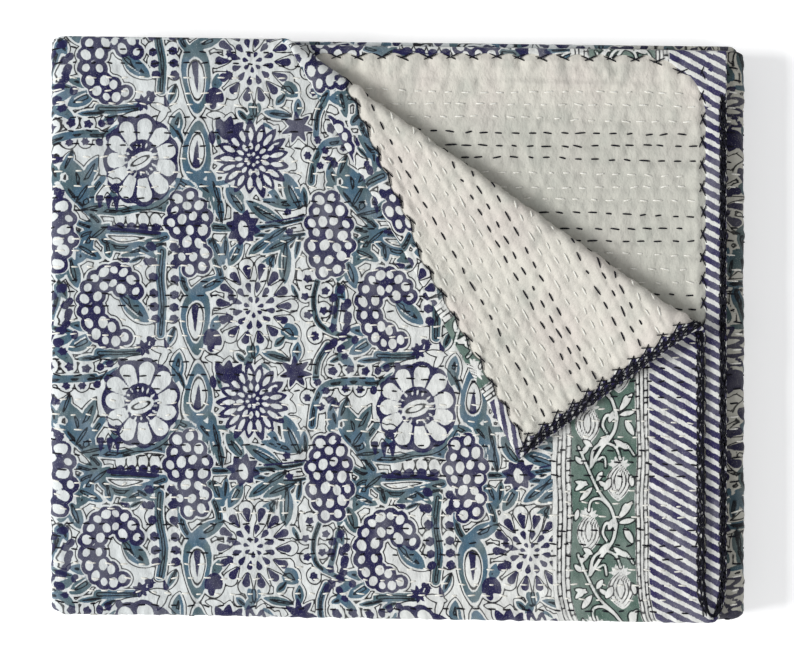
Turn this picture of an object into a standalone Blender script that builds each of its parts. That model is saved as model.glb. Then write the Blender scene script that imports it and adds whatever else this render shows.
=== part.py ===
"""A hand-quilted bed runner, folded into a flat pack with one corner turned back.

The runner is two plies: a printed face, whose edges are turned over to the back as a hem, and a
plain backing caught under that hem. It is folded in half across its width, plain side inside, and
the doubled strip then runs back and forth in five passes. The back right corner of the top layer
is turned over, so that the backing shows. Metres, +Z up, +X along the runner, +Y to the open edges.
"""

import math
from typing import NamedTuple

import bmesh
import bpy
import numpy as np

# The cut cloth and its passes
RUNNER_WIDTH = 0.750
PASSES = 5

# Plies, as heights above the middle of the cloth, printed side up
INNER_GAP = 0.00015
FACE_VALLEY = 0.00115
BACKING_UNDER = -0.00115
RIDGE_RISE = 0.00040
LIP_UPPER = -0.00145
LIP_UNDER = -0.00245
HEM_WALL = 0.0013
BACKING_INSET = 0.0016

# Spacing of the folded layers
ARM_OFFSET = 0.00275
PASS_GAP = 0.0004
OUTER_HEIGHT = FACE_VALLEY + RIDGE_RISE
TURN_RADIUS = ARM_OFFSET + OUTER_HEIGHT + PASS_GAP
PASS_PITCH = 2 * TURN_RADIUS
APEX_REACH = TURN_RADIUS + ARM_OFFSET + OUTER_HEIGHT
TURN_LENGTH = math.pi * TURN_RADIUS
TOP_LEVEL = ARM_OFFSET + FACE_VALLEY + (PASSES - 1) * PASS_PITCH

# The ends of the passes in x: the runner's end on top, the apex of each turn, its far end below
END_X = 0.2145
APEX_X = (-0.2265, 0.2275, -0.2235, 0.2245)
FAR_END_X = -0.205

# The upper layer of the top pass stops short of the lower one, evening out over this length
UPPER_LAG = 0.015
LAG_LENGTH = 0.400
LAG_EASE = 0.012
LAG_SHARES = (1.0, 0.93, 0.72, 0.28, 0.07, 0.0)

# The half fold: length of its upper arm, its bend, and the pack's open edge
UPPER_ARM = 0.3722
FRONT_TURN = math.pi * ARM_OFFSET
LOWER_ARM = RUNNER_WIDTH - UPPER_ARM - FRONT_TURN
BACK_Y = 0.1870

# Drift of the whole strip in y, at its start, at each turn and at its far end
DRIFTS = (-0.0031, 0.0033, -0.0022, 0.0008, -0.0030, 0.0005)
TUCK = 0.010
TUCK_REACH = 0.009

# Bends and quilting rows
TURN_STEPS = 5
FRONT_STEPS = 5
ROW_PITCH = 0.0088
ROW_CLEAR = 0.0030
BEND_CLEAR = 0.0006
PILLOW_LENGTH = 0.110
ZONE_INSET = 0.0001
LIP_CLEAR = 0.0005

# Uneven height of the ridges: its share, and its waves in radians to the metre
UNEVEN_SHARE = 0.18
UNEVEN_ACROSS = 911.0
UNEVEN_ALONG = 57.0

# The backing's raised rows: from the hem at the runner's end to the top of the first turn
BACKING_ROWS_FROM = 0.0170
BACKING_ROWS_TO = 0.330

# The turned corner: its crease on the top layer, from the back edge to the right edge
CREASE_START = np.array([-0.0702, 0.1833])
CREASE_END = np.array([0.1937, 0.0033])
ROLL_AT_START = 0.0034
ROLL_AT_END = 0.0062
FLAP_REST = 2 * OUTER_HEIGHT + 0.0005
FLAP_FALL = 0.060
FLAP_SLIDE = 0.363
FLAP_REACH = 0.909
ROLL_STEPS = 5
FALL_STEPS = (0.018, 0.038, FLAP_FALL)
CORNER_SPAN = 0.300
TURN_CLEAR = 0.010

# Tolerances of the scoring: how far a cut may lie from a point or a level that it meets
POINT_TOLERANCE = 2e-6
LEVEL_TOLERANCE = 1e-6


class HemStation(NamedTuple):
    """A place on the cloth's outline, and the place on the lip's inner edge that faces it."""

    along: float
    across: float
    lip_along: float
    lip_across: float


class Zone(NamedTuple):
    """A part of the cloth that shows, where the quilting is raised, as flat distances."""

    along_from: float
    along_to: float
    across_from: float
    across_to: float


def turn_centres():
    """X of the centre of each turn, from its apex."""
    return [apex - math.copysign(APEX_REACH, apex) for apex in APEX_X]


def pass_starts():
    """Distance along the strip at which each pass begins, and the runner's whole length."""
    stops = [END_X] + turn_centres() + [FAR_END_X]
    straights = [abs(after - before) for before, after in zip(stops, stops[1:])]
    starts = [0.0]
    for straight in straights[:-1]:
        starts.append(starts[-1] + straight + TURN_LENGTH)
    return starts, starts[-1] + straights[-1]


STARTS, RUNNER_LENGTH = pass_starts()
FIRST_TURN = STARTS[1] - TURN_LENGTH

HEM = [
    HemStation(along=0.0, across=0.0, lip_along=0.008, lip_across=0.011),
    HemStation(along=0.134, across=0.0, lip_along=0.134, lip_across=0.011),
    HemStation(along=0.148, across=0.0, lip_along=0.148, lip_across=0.0165),
    HemStation(along=0.182, across=0.0, lip_along=0.182, lip_across=0.0195),
    HemStation(along=0.222, across=0.0, lip_along=0.222, lip_across=0.0250),
    HemStation(along=0.276, across=0.0, lip_along=0.276, lip_across=0.0285),
    HemStation(along=0.340, across=0.0, lip_along=0.340, lip_across=0.0220),
    HemStation(along=0.400, across=0.0, lip_along=0.400, lip_across=0.0120),
    HemStation(
        along=RUNNER_LENGTH, across=0.0, lip_along=RUNNER_LENGTH - 0.012, lip_across=0.010
    ),
    HemStation(
        along=RUNNER_LENGTH,
        across=RUNNER_WIDTH,
        lip_along=RUNNER_LENGTH - 0.012,
        lip_across=RUNNER_WIDTH - 0.010,
    ),
    HemStation(
        along=0.160, across=RUNNER_WIDTH, lip_along=0.160, lip_across=RUNNER_WIDTH - 0.0085
    ),
    HemStation(
        along=0.0, across=RUNNER_WIDTH, lip_along=0.0155, lip_across=RUNNER_WIDTH - 0.0075
    ),
    HemStation(along=0.0, across=0.560, lip_along=0.0150, lip_across=0.560),
    HemStation(along=0.0, across=0.400, lip_along=0.0160, lip_across=0.400),
    HemStation(along=0.0, across=0.350, lip_along=0.0080, lip_across=0.350),
]

PRINT_ZONES = [
    Zone(0.0, STARTS[1], 0.0, UPPER_ARM),
    Zone(STARTS[2] - TURN_LENGTH, STARTS[2], UPPER_ARM + FRONT_TURN, RUNNER_WIDTH),
    Zone(STARTS[3] - TURN_LENGTH, STARTS[3], 0.0, UPPER_ARM),
    Zone(STARTS[4] - TURN_LENGTH, STARTS[4], UPPER_ARM + FRONT_TURN, RUNNER_WIDTH),
]
BACKING_ZONES = [
    Zone(BACKING_ROWS_FROM, BACKING_ROWS_TO, ROW_CLEAR, UPPER_ARM),
    Zone(BACKING_ROWS_FROM, BACKING_ROWS_TO, UPPER_ARM + FRONT_TURN, RUNNER_WIDTH - ROW_CLEAR),
]


def smooth(value):
    """Rises from 0 to 1 with level ends."""
    share = np.clip(value, 0.0, 1.0)
    return share * share * (3 - 2 * share)


def strip_path(along):
    """Centre line of the doubled strip: x and z at a distance along it."""
    x = END_X - along
    z = np.full_like(along, TOP_LEVEL)
    for number, centre in enumerate(turn_centres()):
        heading = -1.0 if number % 2 == 0 else 1.0
        bend = (along - STARTS[number + 1] + TURN_LENGTH) / TURN_RADIUS
        past = np.maximum(along - STARTS[number + 1], 0.0)
        angle = np.clip(bend, 0.0, math.pi)
        top = TOP_LEVEL - number * PASS_PITCH
        x = np.where(bend > 0, centre + heading * (TURN_RADIUS * np.sin(angle) - past), x)
        z = np.where(bend > 0, top - TURN_RADIUS * (1 - np.cos(angle)), z)
    return x, z


def strip_up(along):
    """Direction from the strip's centre line to its upper arm, in x and z."""
    up_x, up_z = np.zeros_like(along), np.ones_like(along)
    for number in range(PASSES - 1):
        heading = -1.0 if number % 2 == 0 else 1.0
        side = 1.0 if number % 2 == 0 else -1.0
        bend = (along - STARTS[number + 1] + TURN_LENGTH) / TURN_RADIUS
        angle = np.clip(bend, 0.0, math.pi)
        turned = bend > 0
        up_x = np.where(turned, side * heading * np.sin(angle), up_x)
        up_z = np.where(turned, side * np.cos(angle), up_z)
    return up_x, up_z


def half_fold(across):
    """The half fold: y, and the offset from the strip's centre line, at a distance across."""
    angle = np.clip((across - UPPER_ARM) / ARM_OFFSET, 0.0, math.pi)
    past = np.maximum(across - UPPER_ARM - FRONT_TURN, 0.0)
    y = BACK_Y - np.minimum(across, UPPER_ARM) - ARM_OFFSET * np.sin(angle) + past
    return y, ARM_OFFSET * np.cos(angle)


def lag_knots():
    """Places across where the upper layer's lag changes its slope, and its share there."""
    past = UPPER_ARM + FRONT_TURN
    places = [UPPER_ARM - 2 * LAG_EASE, UPPER_ARM - LAG_EASE, UPPER_ARM]
    places += [past, past + LAG_EASE, past + 2 * LAG_EASE]
    return places, LAG_SHARES


def turn_tuck(along):
    """1 at the apex of each turn and 0 away from it: a soft turn draws its ends in."""
    tuck = np.zeros_like(along)
    for start in STARTS[1:]:
        apart = np.abs(along - (start - TURN_LENGTH / 2)) / TUCK_REACH
        tuck = np.maximum(tuck, 1 - smooth(apart))
    return tuck


def crease_frame():
    """Direction along the crease, direction out over it, and the crease's length."""
    run = CREASE_END - CREASE_START
    length = math.hypot(*run)
    way = run / length
    return way, np.array([-way[1], way[0]]), length


def turned_corner(x, y):
    """Places on the flat top layer carried over the crease: new x and y, and the height gained."""
    way, out, length = crease_frame()
    along = (x - CREASE_START[0]) * way[0] + (y - CREASE_START[1]) * way[1]
    beyond = (x - CREASE_START[0]) * out[0] + (y - CREASE_START[1]) * out[1]
    radius = ROLL_AT_START + (ROLL_AT_END - ROLL_AT_START) * along / length
    rolled = beyond + radius
    angle = np.clip(rolled / radius, 0.0, math.pi)
    past = np.maximum(rolled - math.pi * radius, 0.0)
    reach = np.where(rolled < 0, beyond, radius * (np.sin(angle) - 1) - FLAP_REACH * past)
    fall = (2 * radius - FLAP_REST) * smooth(past / FLAP_FALL)
    height = radius * (1 - np.cos(angle)) - fall
    slid = along + FLAP_SLIDE * past
    new_x = CREASE_START[0] + slid * way[0] + reach * out[0]
    new_y = CREASE_START[1] + slid * way[1] + reach * out[1]
    return new_x, new_y, height


def middle_surface(along, across):
    """Place of the middle of the cloth, at distances along and across the flat runner."""
    upper = np.interp(across, *lag_knots())
    lag_left = np.maximum(1 - along / LAG_LENGTH, 0.0)
    travelled = along + UPPER_LAG * upper * lag_left
    x, z = strip_path(travelled)
    up_x, up_z = strip_up(travelled)
    y, offset = half_fold(across)
    on_top = (travelled < FIRST_TURN - TURN_CLEAR) & (across < UPPER_ARM)
    turned_x, turned_y, height = turned_corner(x, y)
    x = np.where(on_top, turned_x, x)
    y = np.where(on_top, turned_y, y)
    lift = np.where(on_top, height, 0.0)
    knots = [0.0] + [start - TURN_LENGTH / 2 for start in STARTS[1:]] + [RUNNER_LENGTH]
    y = y * (1 - TUCK * turn_tuck(travelled)) + np.interp(travelled, knots, DRIFTS)
    return np.stack([x + offset * up_x, y, z + offset * up_z + lift], axis=-1)


def place(along, across, height):
    """Places at a height above the middle of the cloth, square to its surface."""
    step = 1e-5
    by_along = middle_surface(along + step, across) - middle_surface(along - step, across)
    by_across = middle_surface(along, across + step) - middle_surface(along, across - step)
    normal = np.cross(by_along, by_across)
    normal /= np.linalg.norm(normal, axis=-1, keepdims=True)
    return middle_surface(along, across) + normal * height[:, None]


def score(sheet, point, normal, zone=None, level=None):
    """Cuts the flat cloth's faces along a line, all of them or those of one zone and level."""
    faces = []
    for face in sheet.faces:
        centre = face.calc_center_median()
        if level is not None and abs(centre.z - level) > LEVEL_TOLERANCE:
            continue
        if zone is not None:
            if not zone.along_from < centre.x < zone.along_to:
                continue
            if not zone.across_from < centre.y < zone.across_to:
                continue
        faces.append(face)
    edges = {edge for face in faces for edge in face.edges}
    corners = {corner for face in faces for corner in face.verts}
    bmesh.ops.bisect_plane(
        sheet,
        geom=faces + list(edges) + list(corners),
        plane_co=(*point, 0.0),
        plane_no=(*normal, 0.0),
        dist=POINT_TOLERANCE,
    )


def crease_lines():
    """Lines on the flat cloth along which the turned corner bends: a point and a normal each."""
    way, out, length = crease_frame()
    turns = [(math.pi * step / ROLL_STEPS, 0.0) for step in range(ROLL_STEPS + 1)]
    lines = []
    for angle, past in turns + [(math.pi, fall) for fall in FALL_STEPS]:
        flat = []
        for share, radius in ((0.0, ROLL_AT_START), (1.0, ROLL_AT_END)):
            x, y = CREASE_START + way * length * share + out * (radius * (angle - 1) + past)
            along = (END_X - x - UPPER_LAG) / (1 - UPPER_LAG / LAG_LENGTH)
            flat.append((along, BACK_Y - y))
        run = (flat[1][0] - flat[0][0], flat[1][1] - flat[0][1])
        lines.append((flat[0], (run[1], -run[0])))
    return lines


def score_bends(sheet):
    """Scores every line where the cloth bends, where its hem changes and where it drifts."""
    for start in STARTS[1:]:
        apex = start - TURN_LENGTH / 2
        for step in range(TURN_STEPS + 1):
            score(sheet, (start - TURN_LENGTH * step / TURN_STEPS, 0.0), (1.0, 0.0))
        score(sheet, (apex - TUCK_REACH, 0.0), (1.0, 0.0))
        score(sheet, (apex + TUCK_REACH, 0.0), (1.0, 0.0))
    score(sheet, (LAG_LENGTH, 0.0), (1.0, 0.0))
    for step in range(FRONT_STEPS + 1):
        score(sheet, (0.0, UPPER_ARM + FRONT_TURN * step / FRONT_STEPS), (0.0, 1.0))
    lagging = Zone(0.0, LAG_LENGTH, 0.0, RUNNER_WIDTH)
    for across in lag_knots()[0]:
        score(sheet, (0.0, across), (0.0, 1.0), lagging)
    for point, normal in crease_lines():
        score(sheet, point, normal)
    corner = Zone(0.0, CORNER_SPAN, 0.0, UPPER_ARM)
    for station in HEM:
        if station.across == 0.0:
            score(sheet, (station.along, 0.0), (1.0, 0.0), corner)


def score_quilting(sheet, zones, level):
    """Scores the stitching rows and the ridges between them, where they show."""
    bends = [0.0, RUNNER_WIDTH, *lag_knots()[0]]
    for zone in zones:
        span = zone.along_to - zone.along_from
        pillows = max(1, round(span / PILLOW_LENGTH))
        if pillows > 1:
            for clear in (0.0, ROW_CLEAR):
                score(sheet, (zone.along_from + clear, 0.0), (1.0, 0.0), None, level)
            for number in range(1, pillows):
                at = zone.along_from + span * number / pillows
                score(sheet, (at, 0.0), (1.0, 0.0), zone, level)
        for number in range(1, 2 * int(RUNNER_WIDTH / ROW_PITCH)):
            at = number * ROW_PITCH / 2
            inside = zone.across_from < at < zone.across_to
            if inside and min(abs(at - bend) for bend in bends) > BEND_CLEAR:
                score(sheet, (0.0, at), (0.0, 1.0), zone, level)


def lip_reach(along, far_side):
    """How far the hem's lip reaches over the back at a distance along, on either long edge."""
    edge = RUNNER_WIDTH if far_side else 0.0
    stations = sorted(station for station in HEM if station.across == edge)
    widths = [abs(station.lip_across - edge) for station in stations]
    return np.interp(along, [station.along for station in stations], widths)


def clear_of_lip(along, across):
    """Whether a place on the back, and the rows beside it, are clear of the hem's lip."""
    clear = np.ones_like(along, dtype=bool)
    for nearby in (-PILLOW_LENGTH, 0.0, PILLOW_LENGTH):
        near_edge = lip_reach(along + nearby, False) + LIP_CLEAR
        far_edge = RUNNER_WIDTH - lip_reach(along + nearby, True) - LIP_CLEAR
        clear &= across - ROW_PITCH / 2 > near_edge
        clear &= across + ROW_PITCH / 2 < far_edge
    return clear


def ridge_rise(along, across, zones):
    """Height of the quilting: 0 on a stitching row, highest between two, uneven along them."""
    wave = np.sin(math.pi * across / ROW_PITCH) ** 2
    shown = np.zeros_like(along)
    for zone in zones:
        inside = along > zone.along_from + ZONE_INSET
        inside &= along < zone.along_to - ZONE_INSET
        inside &= across > zone.across_from + ZONE_INSET
        inside &= across < zone.across_to - ZONE_INSET
        shown = np.maximum(shown, inside)
    ripple = np.sin(across * UNEVEN_ACROSS + along * UNEVEN_ALONG)
    uneven = 1 - UNEVEN_SHARE + UNEVEN_SHARE * ripple
    return RIDGE_RISE * wave * shown * uneven


def fold(sheet, zones, level, outward):
    """Moves the flat cloth's points to their folded places, raising the quilting."""
    flat = np.array([corner.co for corner in sheet.verts])
    along, across, height = flat[:, 0], flat[:, 1], flat[:, 2].copy()
    on_level = np.abs(height - level) < LEVEL_TOLERANCE
    raised = on_level & ((outward > 0) | clear_of_lip(along, across))
    height += np.where(raised, outward * ridge_rise(along, across, zones), 0.0)
    folded = place(along, across, height)
    for corner, spot in zip(sheet.verts, folded):
        corner.co = spot


def face_blank():
    """The flat printed cloth with its hem turned under, as one closed body."""
    sheet = bmesh.new()
    rings = {name: [] for name in ("top", "rim", "lip_edge_low", "lip_edge", "crook", "under")}
    for station in HEM:
        inset = (
            min(max(station.along, HEM_WALL), RUNNER_LENGTH - HEM_WALL),
            min(max(station.across, HEM_WALL), RUNNER_WIDTH - HEM_WALL),
        )
        outer = (station.along, station.across)
        lip = (station.lip_along, station.lip_across)
        rings["top"].append(sheet.verts.new((*outer, FACE_VALLEY)))
        rings["rim"].append(sheet.verts.new((*outer, LIP_UNDER)))
        rings["lip_edge_low"].append(sheet.verts.new((*lip, LIP_UNDER)))
        rings["lip_edge"].append(sheet.verts.new((*lip, LIP_UPPER)))
        rings["crook"].append(sheet.verts.new((*inset, LIP_UPPER)))
        rings["under"].append(sheet.verts.new((*inset, INNER_GAP)))
    names = list(rings)
    for name, following in zip(names, names[1:]):
        for here, onward in zip(range(len(HEM)), list(range(1, len(HEM))) + [0]):
            ring, beyond = rings[name], rings[following]
            sheet.faces.new([ring[here], ring[onward], beyond[onward], beyond[here]])
    sheet.faces.new(rings["top"])
    sheet.faces.new(rings["under"])
    bmesh.ops.recalc_face_normals(sheet, faces=sheet.faces)
    return sheet


def backing_blank():
    """The flat backing as one closed body, a little inside the hem's fold."""
    sheet = bmesh.new()
    ends = (BACKING_INSET, RUNNER_LENGTH - BACKING_INSET)
    sides = (BACKING_INSET, RUNNER_WIDTH - BACKING_INSET)
    loop = [(ends[0], sides[0]), (ends[1], sides[0]), (ends[1], sides[1]), (ends[0], sides[1])]
    upper = [sheet.verts.new((*spot, -INNER_GAP)) for spot in loop]
    lower = [sheet.verts.new((*spot, BACKING_UNDER)) for spot in loop]
    sheet.faces.new(upper)
    sheet.faces.new(lower)
    for here, onward in ((0, 1), (1, 2), (2, 3), (3, 0)):
        sheet.faces.new([upper[here], upper[onward], lower[onward], lower[here]])
    bmesh.ops.recalc_face_normals(sheet, faces=sheet.faces)
    return sheet


def material(name, colour, roughness):
    """A plain Principled material."""
    cloth = bpy.data.materials.new(name)
    cloth.use_nodes = True
    shader = cloth.node_tree.nodes["Principled BSDF"]
    shader.inputs["Base Color"].default_value = (*colour, 1.0)
    shader.inputs["Roughness"].default_value = roughness
    return cloth


def folded_cloth(name, sheet, zones, level, outward, cloth):
    """Scores and folds a flat blank, and adds it to the scene as an object."""
    score_bends(sheet)
    score_quilting(sheet, zones, level)
    fold(sheet, zones, level, outward)
    bmesh.ops.triangulate(sheet, faces=sheet.faces, quad_method="BEAUTY", ngon_method="BEAUTY")
    mesh = bpy.data.meshes.new(name)
    sheet.to_mesh(mesh)
    sheet.free()
    mesh.materials.append(cloth)
    body = bpy.data.objects.new(name, mesh)
    bpy.context.scene.collection.objects.link(body)
    return body


def centre_on_floor(bodies):
    """Moves the meshes so that their box stands on z = 0, centred in x and y."""
    points = np.concatenate([[corner.co[:] for corner in body.data.vertices] for body in bodies])
    low, high = points.min(axis=0), points.max(axis=0)
    shift = np.array([(low[0] + high[0]) / 2, (low[1] + high[1]) / 2, low[2]])
    for body in bodies:
        for corner in body.data.vertices:
            corner.co = [value - move for value, move in zip(corner.co, shift)]


def build():
    """Builds the runner's two plies."""
    for old in list(bpy.data.objects):
        bpy.data.objects.remove(old, do_unlink=True)
    printed = material("printed_cotton", (0.34, 0.36, 0.42), 0.85)
    plain = material("plain_cotton", (0.66, 0.61, 0.52), 0.88)
    face = folded_cloth("printed_face", face_blank(), PRINT_ZONES, FACE_VALLEY, 1.0, printed)
    backing = folded_cloth(
        "plain_backing", backing_blank(), BACKING_ZONES, BACKING_UNDER, -1.0, plain
    )
    centre_on_floor([face, backing])


build()
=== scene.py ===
"""A folded quilted bed runner, block-printed in navy and teal and quilted by hand in two threads.

The cloth is worked out flat, as distances along and across the runner, and carried to its folded
place by the same map as the solids: a half fold, five passes and one turned corner. The print is
drawn flat too, as signed distances to shapes that the materials turn into ink.
"""

import logging
import math
from collections.abc import Callable, Sequence
from dataclasses import dataclass, field
from enum import Enum

import bpy
import numpy as np
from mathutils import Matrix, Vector


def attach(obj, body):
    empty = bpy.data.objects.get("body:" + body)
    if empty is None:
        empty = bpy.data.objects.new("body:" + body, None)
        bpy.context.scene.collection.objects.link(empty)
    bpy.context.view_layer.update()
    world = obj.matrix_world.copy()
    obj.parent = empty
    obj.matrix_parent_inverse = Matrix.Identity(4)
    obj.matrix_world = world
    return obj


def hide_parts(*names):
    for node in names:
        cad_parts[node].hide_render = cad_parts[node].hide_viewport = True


Array = np.ndarray
Shape = Callable[[Array, Array], Array]
Points = Sequence[tuple[float, float]]
Color = tuple[int, int, int]
LOG = logging.getLogger("runner")
MM = 0.001
BEND_LEAD = 0.025
BEND_TAIL = 0.002
FOLD_MARGIN = 0.012
BARED_WIDTH = 0.200
BARED_LENGTH = 0.300
OUTSIDE = 9.0
BODY = "root"

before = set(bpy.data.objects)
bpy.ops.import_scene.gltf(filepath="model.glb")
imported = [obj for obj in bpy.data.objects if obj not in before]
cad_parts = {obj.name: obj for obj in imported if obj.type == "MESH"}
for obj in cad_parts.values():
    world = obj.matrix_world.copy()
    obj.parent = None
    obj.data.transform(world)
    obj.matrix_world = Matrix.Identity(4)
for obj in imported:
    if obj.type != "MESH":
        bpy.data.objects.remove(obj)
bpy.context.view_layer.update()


def smooth(value: Array) -> Array:
    """A cubic ease of the value: 0 up to 0, 1 from 1 on."""
    share = np.clip(value, 0.0, 1.0)
    return share * share * (3 - 2 * share)


def ripple(x: Array, y: Array, wavelength: float, seed: int, stretch: float = 1.0) -> Array:
    """Smooth unevenness: the mean of seven sine waves in seeded directions.

    Args:
        x: First coordinate, in metres.
        y: Second coordinate, in metres.
        wavelength: The middle wavelength, in metres.
        seed: Chooses the directions and phases.
        stretch: How many times longer the waves are in y than in x.

    Returns:
        Values of about -1 to 1.
    """
    dice = np.random.default_rng(seed)
    total = np.zeros(np.broadcast(x, y).shape)
    for _ in range(7):
        heading, phase = dice.uniform(0, 2 * math.pi, 2)
        pace = 2 * math.pi / (wavelength * dice.uniform(0.7, 1.4))
        total += np.sin(pace * (x * math.cos(heading) + y * math.sin(heading) / stretch) + phase)
    return total / 3.2


@dataclass(frozen=True)
class Plies:
    """Heights of the cloth's surfaces above its middle, printed side up, in metres."""

    face: float = 1.15 * MM
    backing: float = -1.15 * MM
    lip: float = -2.45 * MM
    rim_radius: float = 1.80 * MM
    ridge: float = 0.62 * MM

    @property
    def rim_middle(self) -> float:
        """Height of the centre of the rounded rim."""
        return self.face - self.rim_radius


@dataclass(frozen=True)
class FoldedPack:
    """The map from the flat runner to the folded pack, with the same sizes as the solids."""

    width: float = 0.750
    end_x: float = 0.2145
    apexes: tuple[float, ...] = (-0.2265, 0.2275, -0.2235, 0.2245)
    far_end_x: float = -0.205
    arm_offset: float = 2.75 * MM
    turn_radius: float = 4.70 * MM
    apex_reach: float = 9.00 * MM
    floor_clear: float = 3.90 * MM
    floor_gap: float = 0.3 * MM
    upper_lag: float = 0.015
    lag_length: float = 0.400
    lag_ease: float = 0.012
    upper_arm: float = 0.3722
    back_y: float = 0.1870
    drifts: tuple[float, ...] = (-0.0031, 0.0033, -0.0022, 0.0008, -0.0030, 0.0005)
    tuck: float = 0.010
    tuck_reach: float = 0.009
    crease_start: tuple[float, float] = (-0.0702, 0.1833)
    crease_end: tuple[float, float] = (0.1937, 0.0033)
    roll_at_start: float = 3.4 * MM
    roll_at_end: float = 6.2 * MM
    flap_rest: float = 3.6 * MM
    flap_fall: float = 0.060
    flap_slide: float = 0.363
    flap_reach: float = 0.909
    centre: tuple[float, float] = (0.0005, -0.0009)

    @property
    def front_turn(self) -> float:
        """Length of cloth in the half fold's bend."""
        return math.pi * self.arm_offset

    @property
    def turn_length(self) -> float:
        """Length of strip in each turn."""
        return math.pi * self.turn_radius

    @property
    def lower_from(self) -> float:
        """Distance across at which the lower arm begins."""
        return self.upper_arm + self.front_turn

    def turn_centres(self) -> list[float]:
        """X of the centre of each turn, from its apex."""
        return [apex - math.copysign(self.apex_reach, apex) for apex in self.apexes]

    def starts(self) -> list[float]:
        """Distances along the strip at which the passes begin, and last the runner's length."""
        stops = [self.end_x, *self.turn_centres(), self.far_end_x]
        at = [0.0]
        for before, after in zip(stops, stops[1:]):
            at.append(at[-1] + abs(after - before) + self.turn_length)
        at[-1] -= self.turn_length
        return at

    def bends(self) -> list[tuple[float, float]]:
        """Distances along between which each turn after the first shows, with cloth before it."""
        return [(at - self.turn_length - BEND_LEAD, at + BEND_TAIL) for at in self.starts()[2:5]]

    def fold_zone(self) -> tuple[float, float]:
        """Distances across between which the half fold shows."""
        return self.upper_arm - FOLD_MARGIN, self.lower_from + FOLD_MARGIN

    def top_level(self) -> float:
        """Height of the top pass's centre line."""
        return self.floor_clear + len(self.apexes) * 2 * self.turn_radius

    def strip(self, along: Array) -> tuple[Array, Array, Array, Array]:
        """Carries the doubled strip along its passes and turns.

        Straight passes join half circles of one radius, which step down by a diameter each.

        Args:
            along: Distances along the strip.

        Returns:
            Its x and z, and the x and z of the unit vector to its upper arm.
        """
        x = self.end_x - along
        z = np.full_like(along, self.top_level())
        up_x, up_z = np.zeros_like(along), np.ones_like(along)
        for number, centre in enumerate(self.turn_centres()):
            heading = -1.0 if number % 2 == 0 else 1.0
            bend = (along - self.starts()[number + 1] + self.turn_length) / self.turn_radius
            past = np.maximum(along - self.starts()[number + 1], 0.0)
            angle = np.clip(bend, 0.0, math.pi)
            top = self.top_level() - 2 * number * self.turn_radius
            turned = bend > 0
            x_there = centre + heading * (self.turn_radius * np.sin(angle) - past)
            x = np.where(turned, x_there, x)
            z = np.where(turned, top - self.turn_radius * (1 - np.cos(angle)), z)
            up_x = np.where(turned, -np.sin(angle), up_x)
            up_z = np.where(turned, -heading * np.cos(angle), up_z)
        return x, z, up_x, up_z

    def lag(self, along: Array) -> Array:
        """How far the upper arm lags behind the lower one: most at the end, none further in."""
        return self.upper_lag * np.clip(1 - along / self.lag_length, 0.0, 1.05)

    def half_fold(self, across: Array) -> tuple[Array, Array]:
        """The U of the half fold: y, and the offset from the strip's centre line."""
        angle = np.clip((across - self.upper_arm) / self.arm_offset, 0.0, math.pi)
        past = np.maximum(across - self.lower_from, 0.0)
        y = self.back_y - np.minimum(across, self.upper_arm)
        return y - self.arm_offset * np.sin(angle) + past, self.arm_offset * np.cos(angle)

    def crease(self) -> tuple[Array, Array, Array, float]:
        """The crease's start, its direction, the direction out over it, and its length."""
        start, end = np.array(self.crease_start), np.array(self.crease_end)
        length = math.hypot(*(end - start))
        way = (end - start) / length
        return start, way, np.array([-way[1], way[0]]), length

    def past_crease(self, along: Array, across: Array) -> Array:
        """How far flat places on the top layer lie out beyond the crease."""
        start, _, out, _ = self.crease()
        x = self.end_x - along - self.lag(along)
        y = self.back_y - across + self.drifts[0]
        return (x - start[0]) * out[0] + (y - start[1]) * out[1]

    def turned_corner(self, x: Array, y: Array) -> tuple[Array, Array, Array]:
        """Rolls the top layer's corner over its crease and lays it back.

        Beyond the crease the cloth goes round a cone whose radius grows along the crease, then
        sinks by a cubic ease to rest on the layer below, sliding a little along the crease.

        Args:
            x: Flat places on the top layer.
            y: Flat places on the top layer.

        Returns:
            The new x and y, and the height gained.
        """
        start, way, out, length = self.crease()
        along = (x - start[0]) * way[0] + (y - start[1]) * way[1]
        beyond = (x - start[0]) * out[0] + (y - start[1]) * out[1]
        radius = self.roll_at_start + (self.roll_at_end - self.roll_at_start) * along / length
        radius = np.maximum(radius, 1 * MM)
        rolled = beyond + radius
        angle = np.clip(rolled / radius, 0.0, math.pi)
        past = np.maximum(rolled - math.pi * radius, 0.0)
        reach = np.where(rolled < 0, beyond, radius * (np.sin(angle) - 1) - self.flap_reach * past)
        fall = (2 * radius - self.flap_rest) * smooth(past / self.flap_fall)
        height = radius * (1 - np.cos(angle)) - fall
        slid = along + self.flap_slide * past
        return (
            start[0] + slid * way[0] + reach * out[0],
            start[1] + slid * way[1] + reach * out[1],
            height,
        )

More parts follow.
